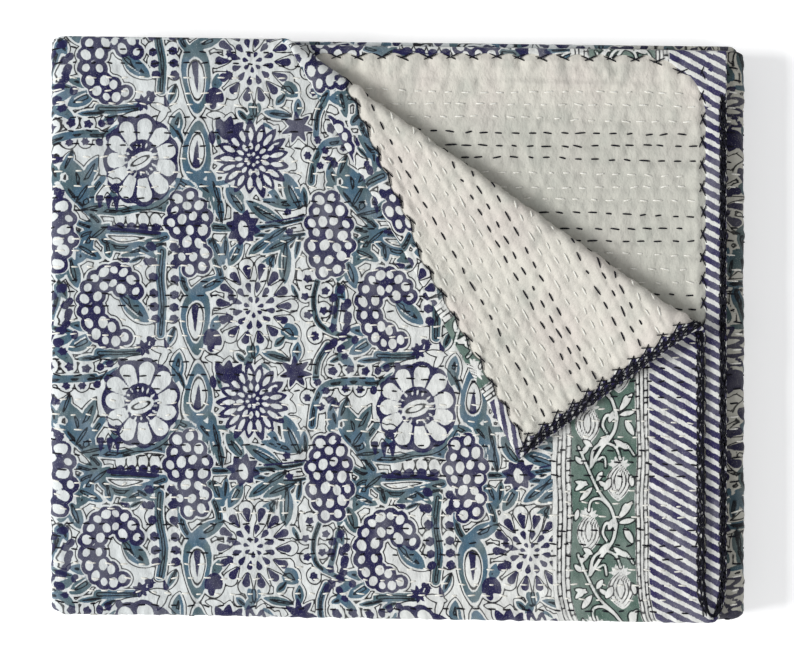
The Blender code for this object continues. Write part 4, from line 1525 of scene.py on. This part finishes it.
def block_print_group() -> bpy.types.NodeTree:
    """Hand block print: ink wherever a signed distance, made to tremble by noise, is below 0.

    The contour is a thin line where its distance is near 0. The stripes are bands of the place
    across less a slope times the place along. Small flecks of cloth show through the ink, and its
    strength drifts slowly, as from an unevenly pressed block.
    """
    graph, taken, given = new_group(
        "block_print",
        {
            "Place": None,
            "Inks": None,
            "Ground": (0.8, 0.8, 0.7, 1.0),
            "Shadow": (0.6, 0.6, 0.6, 1.0),
            "Contour": (0.03, 0.03, 0.04, 1.0),
            "Navy": (0.04, 0.03, 0.15, 1.0),
            "Teal": (0.1, 0.2, 0.25, 1.0),
            "Slate": (0.1, 0.2, 0.2, 1.0),
            "Green": (0.1, 0.2, 0.15, 1.0),
            "Stripe": (0.1, 0.1, 0.2, 1.0),
            "Stripes": 62.7,
            "Pitch": 7.4,
            "Slope": 0.55,
            "Tremble": 0.55,
        },
        {"Color": "NodeSocketColor"},
    )
    put, math_of, product = taken.outputs, graph.math, graph.product
    place, soft = put["Place"], 0.20
    inks, (_, across, into) = graph.split(put["Inks"]), graph.split(place)
    fine = math_of("SUBTRACT", graph.noise(place, 0.9, detail=3), 0.5)
    broad = math_of("SUBTRACT", graph.noise(place, 0.22), 0.5)
    shake = math_of("MULTIPLY_ADD", broad, 0.8, product(fine, put["Tremble"]))
    down = math_of("MULTIPLY_ADD", into, product(put["Slope"], -1.0), across)
    phase = math_of("FRACT", math_of("DIVIDE", down, put["Pitch"]))
    off = math_of("ABSOLUTE", math_of("SUBTRACT", phase, 0.5))
    band = math_of("MULTIPLY_ADD", math_of("SUBTRACT", off, 0.285), 6.4, product(shake, 1.9))
    striped = graph.ramp(into, math_of("SUBTRACT", put["Stripes"], 0.3), put["Stripes"])
    stripe = product(graph.ramp(band, -soft, soft, 1.0, 0.0), striped)
    navy, teal = (
        graph.ramp(math_of("ADD", ink, shake), -soft, soft, 1.0, 0.0) for ink in (inks[0], inks[1])
    )
    away = math_of("ABSOLUTE", math_of("MULTIPLY_ADD", shake, 0.6, inks[2]))
    contour = graph.ramp(away, 0.20, 0.58, 1.0, 0.0)
    fleck = graph.ramp(graph.noise(place, 1.7, detail=2), 0.30, 0.40, 0.70, 1.0)
    pressed = graph.ramp(graph.noise(place, 0.045, detail=3), 0.30, 0.62, 0.86, 1.0)
    dyed = product(fleck, pressed)
    strength = product(dyed, math_of("SUBTRACT", 1.0, striped))
    hue = graph.ramp(graph.noise(place, 0.06, detail=1), 0.42, 0.58)
    second = graph.mix(hue, put["Teal"], put["Slate"])
    second = graph.mix(graph.ramp(into, -0.4, 0.4), second, put["Green"])
    tint = graph.ramp(graph.noise(place, 0.05, detail=3), 0.35, 0.70, 0.0, 0.5)
    color = graph.mix(tint, put["Ground"], put["Shadow"])
    for share, ink in (
        (product(teal, strength), second),
        (product(contour, strength), put["Contour"]),
        (product(navy, strength), put["Navy"]),
        (product(stripe, dyed), put["Stripe"]),
    ):
        color = graph.mix(share, color, ink)
    graph.feed(given.inputs["Color"], color)
    return graph.tree


@dataclass(frozen=True)
class ClothFinish:
    """What both cottons share: the weave's depth and how the cloth takes light."""

    roughness: float = 0.88
    sheen: float = 0.12
    specular: float = 0.25
    bump_distance: float = 1.35 * MM
    bump_strength: float = 0.90

    def shader(self, graph: Graph, color: object, height: object) -> None:
        """Joins a colour and a height to a Principled shader."""
        graph.principled(
            {
                "Base Color": color,
                "Roughness": self.roughness,
                "Sheen Weight": self.sheen,
                "Specular IOR Level": self.specular,
            },
            height,
            {"Strength": self.bump_strength, "Distance": self.bump_distance},
        )


def fresh_material(name: str) -> tuple[bpy.types.Material, Graph]:
    """Makes a material with an empty node tree."""
    material = bpy.data.materials.new(name)
    material.use_nodes = True
    material.node_tree.nodes.clear()
    return material, Graph(material.node_tree)


@dataclass(frozen=True)
class PrintedCotton:
    """The block-printed face."""

    ground: Color = (218, 219, 215)
    shadow: Color = (200, 201, 198)
    contour: Color = (11, 12, 21)
    navy: Color = (22, 19, 66)
    teal: Color = (66, 96, 115)
    slate: Color = (72, 95, 102)
    green: Color = (79, 103, 93)
    stripe: Color = (41, 36, 80)
    # Painted shade: this warm dark colour is multiplied into the folds past 760 mm along.
    painted_shade: Color = (218, 211, 199)
    # Painted shade: this cool colour is multiplied in, more with distance from the near end.
    painted_cool_shade: Color = (239, 243, 247)
    finish: ClothFinish = ClothFinish()

    def material(self, weave: bpy.types.NodeTree, block_print: bpy.types.NodeTree) -> bpy.types.Material:
        """Prints the inks on the woven ground and darkens it along the runner with painted shade."""
        material, graph = fresh_material("block_printed_cotton")
        place = graph.add("Attribute", attribute_name="flat").outputs["Vector"]
        inks = graph.add("Attribute", attribute_name="inks").outputs["Vector"]
        cloth = graph.add("Group", node_tree=weave)
        graph.feed(cloth.inputs["Place"], place)
        dye = graph.add("Group", node_tree=block_print)
        graph.feed(dye.inputs["Place"], place)
        graph.feed(dye.inputs["Inks"], inks)
        for name in ("ground", "shadow", "contour", "navy", "teal", "slate", "green", "stripe"):
            dye.inputs[name.title()].default_value = linear(*getattr(self, name))
        along = graph.split(place)[0]
        # Painted shade: the warm dark colour eases in on the folds from 760 to 850 mm along and on.
        under = graph.ramp(along, 760.0, 850.0)
        # Painted shade: cooler and darker from 40 to 420 mm along and everywhere beyond.
        away = graph.ramp(along, 40.0, 420.0)
        color = graph.mix(away, dye.outputs["Color"], linear(*self.painted_cool_shade), "MULTIPLY")
        color = graph.mix(under, color, linear(*self.painted_shade), "MULTIPLY")
        shaded = graph.mix(1.0, color, cloth.outputs["Shade"], "MULTIPLY")
        self.finish.shader(graph, shaded, cloth.outputs["Height"])
        return material


@dataclass(frozen=True)
class PlainCotton:
    """The plain reverse, unbleached, with faint show-through of the print."""

    ground: Color = (207, 204, 194)
    # grey colours both the random blots and the painted shade on the lower arm.
    grey: Color = (180, 181, 172)
    rose: Color = (207, 198, 191)
    finish: ClothFinish = ClothFinish(roughness=0.92, sheen=0.10, bump_distance=1.45 * MM)

    def material(self, weave: bpy.types.NodeTree) -> bpy.types.Material:
        """Blots the ground with soft grey and rose, greys the lower arm as painted shade, under the weave's
        shade.
        """
        material, graph = fresh_material("plain_cotton")
        place = graph.add("Attribute", attribute_name="flat").outputs["Vector"]
        cloth = graph.add("Group", node_tree=weave)
        graph.feed(cloth.inputs["Place"], place)
        cloth.inputs["Slub"].default_value = 1.2
        blot = graph.ramp(graph.noise(place, 0.055, detail=4), 0.48, 0.70, 0.0, 0.75)
        patch = graph.ramp(graph.noise(place, 0.018, detail=2), 0.42, 0.68, 0.0, 0.55)
        color = graph.mix(blot, linear(*self.ground), linear(*self.grey))
        color = graph.mix(patch, color, linear(*self.rose))
        across = graph.split(place)[1]
        # Painted shade: the lower arm is greyed by up to 0.6 from 420 mm across, fading out from 685 to 730
        # mm.
        inner = graph.ramp(across, 420.0, 600.0, 0.0, 0.6)
        painted_shade = graph.product(inner, graph.ramp(across, 685.0, 730.0, 1.0, 0.0))
        color = graph.mix(painted_shade, color, linear(*self.grey))
        shaded = graph.mix(1.0, color, cloth.outputs["Shade"], "MULTIPLY")
        self.finish.shader(graph, shaded, cloth.outputs["Height"])
        return material


@dataclass(frozen=True)
class CottonThread:
    """A quilting thread, twisted from finer strands."""

    name: str
    dark: Color
    light: Color
    roughness: float = 0.80
    specular: float = 0.2
    bump_distance: float = 0.2 * MM

    def material(self) -> bpy.types.Material:
        """Bands the thread with slanting strands of two shades."""
        material, graph = fresh_material(self.name)
        place = graph.add("TexCoord").outputs["Object"]
        strands = graph.noise(place, 1500.0, (1.0, 0.5, 1.0), 1)
        color = graph.mix(graph.ramp(strands, 0.35, 0.65), linear(*self.dark), linear(*self.light))
        graph.principled(
            {"Base Color": color, "Roughness": self.roughness, "Specular IOR Level": self.specular},
            strands,
            {"Distance": self.bump_distance},
        )
        return material


@dataclass
class Runner:
    """The whole runner: its panels, hems and threads, dressed and tied to the frame."""

    cloth: QuiltedCloth
    needlework: Needlework

    def __post_init__(self) -> None:
        """Makes the finishes."""
        weave = weave_group()
        self.printed = PrintedCotton().material(weave, block_print_group())
        self.plain = PlainCotton().material(weave)
        self.threads = {
            Thread.DARK: CottonThread("dark_thread", (6, 6, 12), (22, 22, 34)).material(),
            Thread.LIGHT: CottonThread("light_thread", (207, 205, 196), (229, 228, 221)).material(),
        }

    def dress(self, piece: bpy.types.Object, material: bpy.types.Material, side: Side) -> None:
        """Gives a piece its finish and its body, and hides the solid that it stands for."""
        piece.data.materials.append(material)
        side.slot
        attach(piece, BODY)
        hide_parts(side.node)
        LOG.info("%s: %d faces", piece.name, len(piece.data.polygons))

    def add_panel(
        self,
        name: str,
        along: Array,
        across: Array,
        side: Side,
        keep: Shape | None = None,
        depth: float = 0.0,
    ) -> None:
        """Makes and dresses one panel."""
        piece = self.cloth.panel(name, along, across, side, keep, depth)
        self.dress(piece, self.printed if side is Side.PRINTED else self.plain, side)
        cells = np.outer(np.diff(along), np.diff(across))
        if keep is not None:
            middles = [(lines[1:] + lines[:-1]) / 2 for lines in (along, across)]
            grid = np.meshgrid(*middles, indexing="ij")
            cells = cells * keep(grid[0].ravel(), grid[1].ravel()).reshape(cells.shape)
        used = cells.sum(axis=1) > 0, cells.sum(axis=0) > 0
        flat = float(np.diff(across)[used[1]].sum()), float(np.diff(along)[used[0]].sum())
        side.other.node

    def printed_panels(self) -> None:
        """Makes the printed face: fine where it shows, plain and coarse inside the pack."""
        pack, rim = self.cloth.pack, self.cloth.plies.rim_radius
        starts, bends, (low, high) = pack.starts(), pack.bends(), pack.fold_zone()
        length, width, seen = self.cloth.length, pack.width, starts[1] + BEND_TAIL
        top = stations((rim, high, 1 * MM))
        for name, start, end in (
            ("print_border_and_flap", rim, 0.103),
            ("print_field_front", 0.103, 0.275),
            ("print_field_to_turn", 0.275, seen),
        ):
            self.add_panel(name, stations((start, end, 1 * MM)), top, Side.PRINTED)
        spans = [(seen, bends[0][0], 2.5 * MM)]
        for number, (start, end) in enumerate(bends):
            after = bends[number + 1][0] if number < 2 else length - rim
            spans += [(start, end, 1.3 * MM), (end, after, 2.5 * MM if number < 2 else 2.1 * MM)]
        rest = stations(*spans)
        self.add_panel("print_front_folds", rest, stations((low, high, 1.5 * MM)), Side.PRINTED)
        for number, (start, end) in enumerate(bends[:2]):
            span = (high, width - rim, 1.6 * MM) if number == 0 else (rim, low, 1.6 * MM)
            part = rest[(rest > start - 1e-6) & (rest < end + 1e-6)]
            self.add_panel(f"print_fold_{number + 2}", part, stations(span), Side.PRINTED)
        below = rest[rest > bends[2][0] - 1e-6]
        self.add_panel("print_underside", below, stations((high, width - rim, 2.1 * MM)), Side.PRINTED)

        def inside(along: Array, across: Array) -> Array:
            """Faces that no fine panel covers."""
            upper, lower = across < low, across > high
            fine = (along < seen) & (across < high)
            fine |= (along > seen) & ~upper & ~lower
            fine |= (along > bends[0][0]) & (along < bends[0][1]) & lower
            fine |= (along > bends[1][0]) & (along < bends[1][1]) & upper
            return ~(fine | ((along > bends[2][0]) & lower))

        self.add_panel("print_inner_folds", self.coarse_along(), self.coarse_across(), Side.PRINTED, inside)

    def coarse_along(self) -> Array:
        """Grid lines along for what lies inside the pack: close in the turns, wide between."""
        pack, rim = self.cloth.pack, self.cloth.plies.rim_radius
        starts, turn = pack.starts(), pack.turn_length
        spans, at = [], rim
        for stop in starts[1:5]:
            lead = stop - turn - BEND_LEAD
            spans += [(at, lead, 11 * MM), (lead, stop - turn, 6 * MM)]
            spans += [(stop - turn - BEND_TAIL, stop + BEND_TAIL, 1.6 * MM)]
            at = stop + BEND_TAIL
        spans += [(at, self.cloth.length - rim, 11 * MM), (BARED_LENGTH, BARED_LENGTH, 1.0)]
        return stations(*spans)

    def coarse_across(self) -> Array:
        """Grid lines across for what lies inside the pack: close at the half fold."""
        pack, rim = self.cloth.pack, self.cloth.plies.rim_radius
        low, high = pack.fold_zone()
        bared = pack.width - BARED_WIDTH
        spans = [(rim, low, 11 * MM), (low, pack.upper_arm, 4 * MM)]
        spans += [(pack.upper_arm, pack.lower_from, 1 * MM), (pack.lower_from, high, 4 * MM)]
        spans += [(high, bared, 11 * MM), (bared, pack.width - rim, 11 * MM)]
        return stations(*spans)

    def backing_panels(self) -> None:
        """Makes the plain reverse: fine on the turned corner and on the layer bared beneath it."""
        pack, rim = self.cloth.pack, self.cloth.plies.rim_radius
        bared, step = pack.width - BARED_WIDTH, 1.25 * MM
        along = stations((rim, BARED_LENGTH, step))
        flap, lower = stations((rim, pack.upper_arm, step)), stations((bared, pack.width - rim, step))

        def rolled(along: Array, across: Array) -> Array:
            """Faces on the turned corner, and a little short of its crease."""
            return pack.past_crease(along, across) > -0.020


        def inside(along: Array, across: Array) -> Array:
            """Faces that neither fine panel covers."""
            under_flap = (across < pack.upper_arm) & (pack.past_crease(along, across) > -0.012)
            on_lower = (along < BARED_LENGTH) & (across > bared)
            return ~(on_lower | ((along < 0.310) & under_flap))

        inner = self.coarse_along(), self.coarse_across()
        self.add_panel("reverse_of_turned_corner", along, flap, Side.REVERSE, rolled)
        self.add_panel("reverse_of_lower_arm", along, lower, Side.REVERSE)
        self.add_panel("reverse_inner_folds", *inner, Side.REVERSE, inside, 0.2 * MM)

    def hems(self) -> None:
        """Makes the four hems, fine where they show."""
        cloth, pack = self.cloth, self.cloth.pack
        starts, turn, inset = pack.starts(), pack.turn_length, 0.9 * MM
        spans, at = [(inset, 0.330, 1.2 * MM)], 0.330
        for stop in starts[1:5]:
            spans += [(at, stop - turn - 0.006, 4 * MM), (stop - turn - 0.006, stop + 0.006, 1.5 * MM)]
            at = stop + 0.006
        long = stations(*spans, (at, cloth.length - inset, 4 * MM))
        short = stations((inset, pack.width - inset, 1.5 * MM))
        for name, edge, lines, lift in (
            ("hem_back_edge", Edge.BACK, long, 0.0),
            ("hem_far_edge", Edge.FAR, long, 0.3 * MM),
            ("hem_near_end", Edge.NEAR_END, short, 0.0),
            ("hem_far_end", Edge.FAR_END, short, 0.0),
        ):
            piece = cloth.hem(name, edge, lines, lift)
            self.dress(piece, self.printed, Side.PRINTED)
            depth = float(cloth.lip_reach(edge, lines).mean() + math.pi * cloth.plies.rim_radius)
            long_side = float(np.ptp(lines))
            Side.REVERSE.node

    def sewing(self) -> None:
        """Makes the running rows and the whip stitches."""
        pack, needle = self.cloth.pack, self.needlework
        first_turn, bends = pack.starts()[1], pack.bends()
        width, length, edge = pack.width, self.cloth.length, 4 * MM
        low, high = pack.upper_arm - 0.004, pack.lower_from + 0.004
        printed_zones = {
            "top": [(edge, first_turn, edge, pack.lower_from)],
            "folds": [
                (first_turn, length - edge, low, high),
                (*bends[0], high, width - edge),
                (*bends[1], edge, low),
                (bends[2][0], length - edge, high, width - edge),
            ],
        }
        bared = (0.018, BARED_LENGTH, width - BARED_WIDTH, width - 0.010)
        for thread in Thread:
            for place, zones in printed_zones.items():
                start, end = needle.rows(zones, Side.PRINTED, thread)
                name = f"{thread.value}_rows_{place}"
                self.add_thread(name, start, end, thread, 0.18 * MM, Side.PRINTED)
            zones = [(0.010, 0.290, 0.008, pack.upper_arm), bared]
            start, end = needle.rows(zones, Side.REVERSE, thread)
            keep = needle.bare(start, end)
            name = f"{thread.value}_rows_reverse"
            self.add_thread(name, start[keep], end[keep], thread, 0.25 * MM, Side.REVERSE)
        for edge_name, low, high in (
            (Edge.BACK, 0.012, length - 0.012),
            (Edge.FAR, 0.020, length - 0.012),
            (Edge.NEAR_END, 0.014, width - 0.014),
            (Edge.FAR_END, 0.014, width - 0.014),
        ):
            start, end = needle.whip(edge_name, low, high)
            name = f"whip_stitches_{edge_name.name.lower()}"
            self.add_thread(name, start, end, Thread.DARK, 0.35 * MM, Side.PRINTED)
        upper, lower = pack.upper_arm, pack.lower_from
        front, back = Side.PRINTED, Side.REVERSE
        overcast = ((0.1, 1.4), (0.6, 3.6), (2.8, 6.2))
        for name, low, high, pitch, side, bands in (
            ("overcast_stitches_near_end", 0.010, upper, 6.6, front, overcast),
            ("lashing_of_turned_end", 0.008, upper, 6.8, back, ((0.5, 3.6), (3.2, 6.8))),
            ("lashing_of_lower_end", lower, width - 0.030, 6.0, back, ((0.3, 3.4), (2.2, 5.0))),
        ):
            start, end = needle.lash(low, high, pitch * MM, side, bands)
            self.add_thread(name, start, end, Thread.DARK, 0.40 * MM, Side.PRINTED)

    def add_thread(
        self, name: str, start: Array, end: Array, thread: Thread, arch: float, side: Side
    ) -> None:
        """Makes and dresses one piece of stitches; those that bind an edge are of finer thread."""
        fine = self.needlework.binding if "rows" not in name else self.needlework.thickness
        piece = self.needlework.strokes(name, start, end, arch, fine)
        self.dress(piece, self.threads[thread], side)

    def build(self) -> None:
        """Makes every piece."""
        self.printed_panels()
        self.backing_panels()
        self.hems()
        self.sewing()


@dataclass(frozen=True)
class Studio:
    """A pale floor, soft lights and the overhead camera."""

    eye: tuple[float, float, float] = (-0.00115, -0.0017, 1.546)
    lens: float = 104.65
    floor_side: float = 12.0
    floor_color: Color = (252, 252, 252)
    floor_cloud: Color = (244, 244, 243)
    floor_glow: float = 0.30
    key: tuple[tuple[float, float, float], float, float] = ((-4.40, -0.20, 3.24), 1.90, 312.0)
    fill: tuple[tuple[float, float, float], float, float] = ((1.1, -1.5, 1.9), 2.0, 20.0)
    sky: Color = (246, 247, 250)
    sky_strength: float = 0.37

    def floor(self) -> None:
        """Lays the floor, with a faint unevenness in its colour."""
        half = self.floor_side / 2
        corners = [(-half, -half, 0.0), (half, -half, 0.0), (half, half, 0.0), (-half, half, 0.0)]
        mesh = bpy.data.meshes.new("floor")
        mesh.from_pydata(corners, [], [(0, 1, 2, 3)])
        floor = bpy.data.objects.new("floor", mesh)
        bpy.context.scene.collection.objects.link(floor)
        material, graph = fresh_material("pale_floor")
        cloud = graph.noise(graph.add("TexCoord").outputs["Object"], 3.0)
        pale, cloudy = linear(*self.floor_color), linear(*self.floor_cloud)
        graph.principled(
            {
                "Base Color": graph.mix(graph.product(cloud, 0.1), pale, cloudy),
                "Roughness": 0.9,
                "Specular IOR Level": 0.1,
                "Emission Color": linear(255, 255, 255),
                "Emission Strength": self.floor_glow,
            }
        )
        mesh.materials.append(material)

    def light(self, name: str, place: Sequence[float], size: float, power: float) -> None:
        """Hangs one soft square light that faces the middle of the floor."""
        lamp = bpy.data.lights.new(name, "AREA")
        lamp.size = size
        lamp.energy = power
        holder = bpy.data.objects.new(name, lamp)
        holder.location = place
        holder.rotation_euler = (-Vector(place)).to_track_quat("-Z", "Y").to_euler()
        bpy.context.scene.collection.objects.link(holder)

    def build(self) -> None:
        """Sets up the floor, the lights, the pale surroundings and the camera."""
        self.floor()
        self.light("key", *self.key)
        self.light("fill", *self.fill)
        scene = bpy.context.scene
        world = bpy.data.worlds.new("surroundings")
        world.use_nodes = True
        backdrop = world.node_tree.nodes["Background"]
        backdrop.inputs[0].default_value = linear(*self.sky)
        backdrop.inputs[1].default_value = self.sky_strength
        scene.world = world
        scene.view_settings.view_transform = "Standard"
        lens = bpy.data.cameras.new("overhead")
        lens.lens = self.lens
        lens.sensor_width = 36.0
        lens.clip_start = 0.05
        camera = bpy.data.objects.new("overhead", lens)
        camera.location = self.eye
        scene.collection.objects.link(camera)
        scene.camera = camera


def main() -> None:
    """Builds the studio and the runner."""
    logging.basicConfig(level=logging.INFO, format="%(name)s: %(message)s")
    pack = FoldedPack()
    cloth = QuiltedCloth(pack, Plies(), Quilting(), RunnerPrint(pack))
    Studio().build()
    Runner(cloth, Needlework(cloth)).build()
    bpy.context.view_layer.update()


if __name__ == "__main__":
    main()
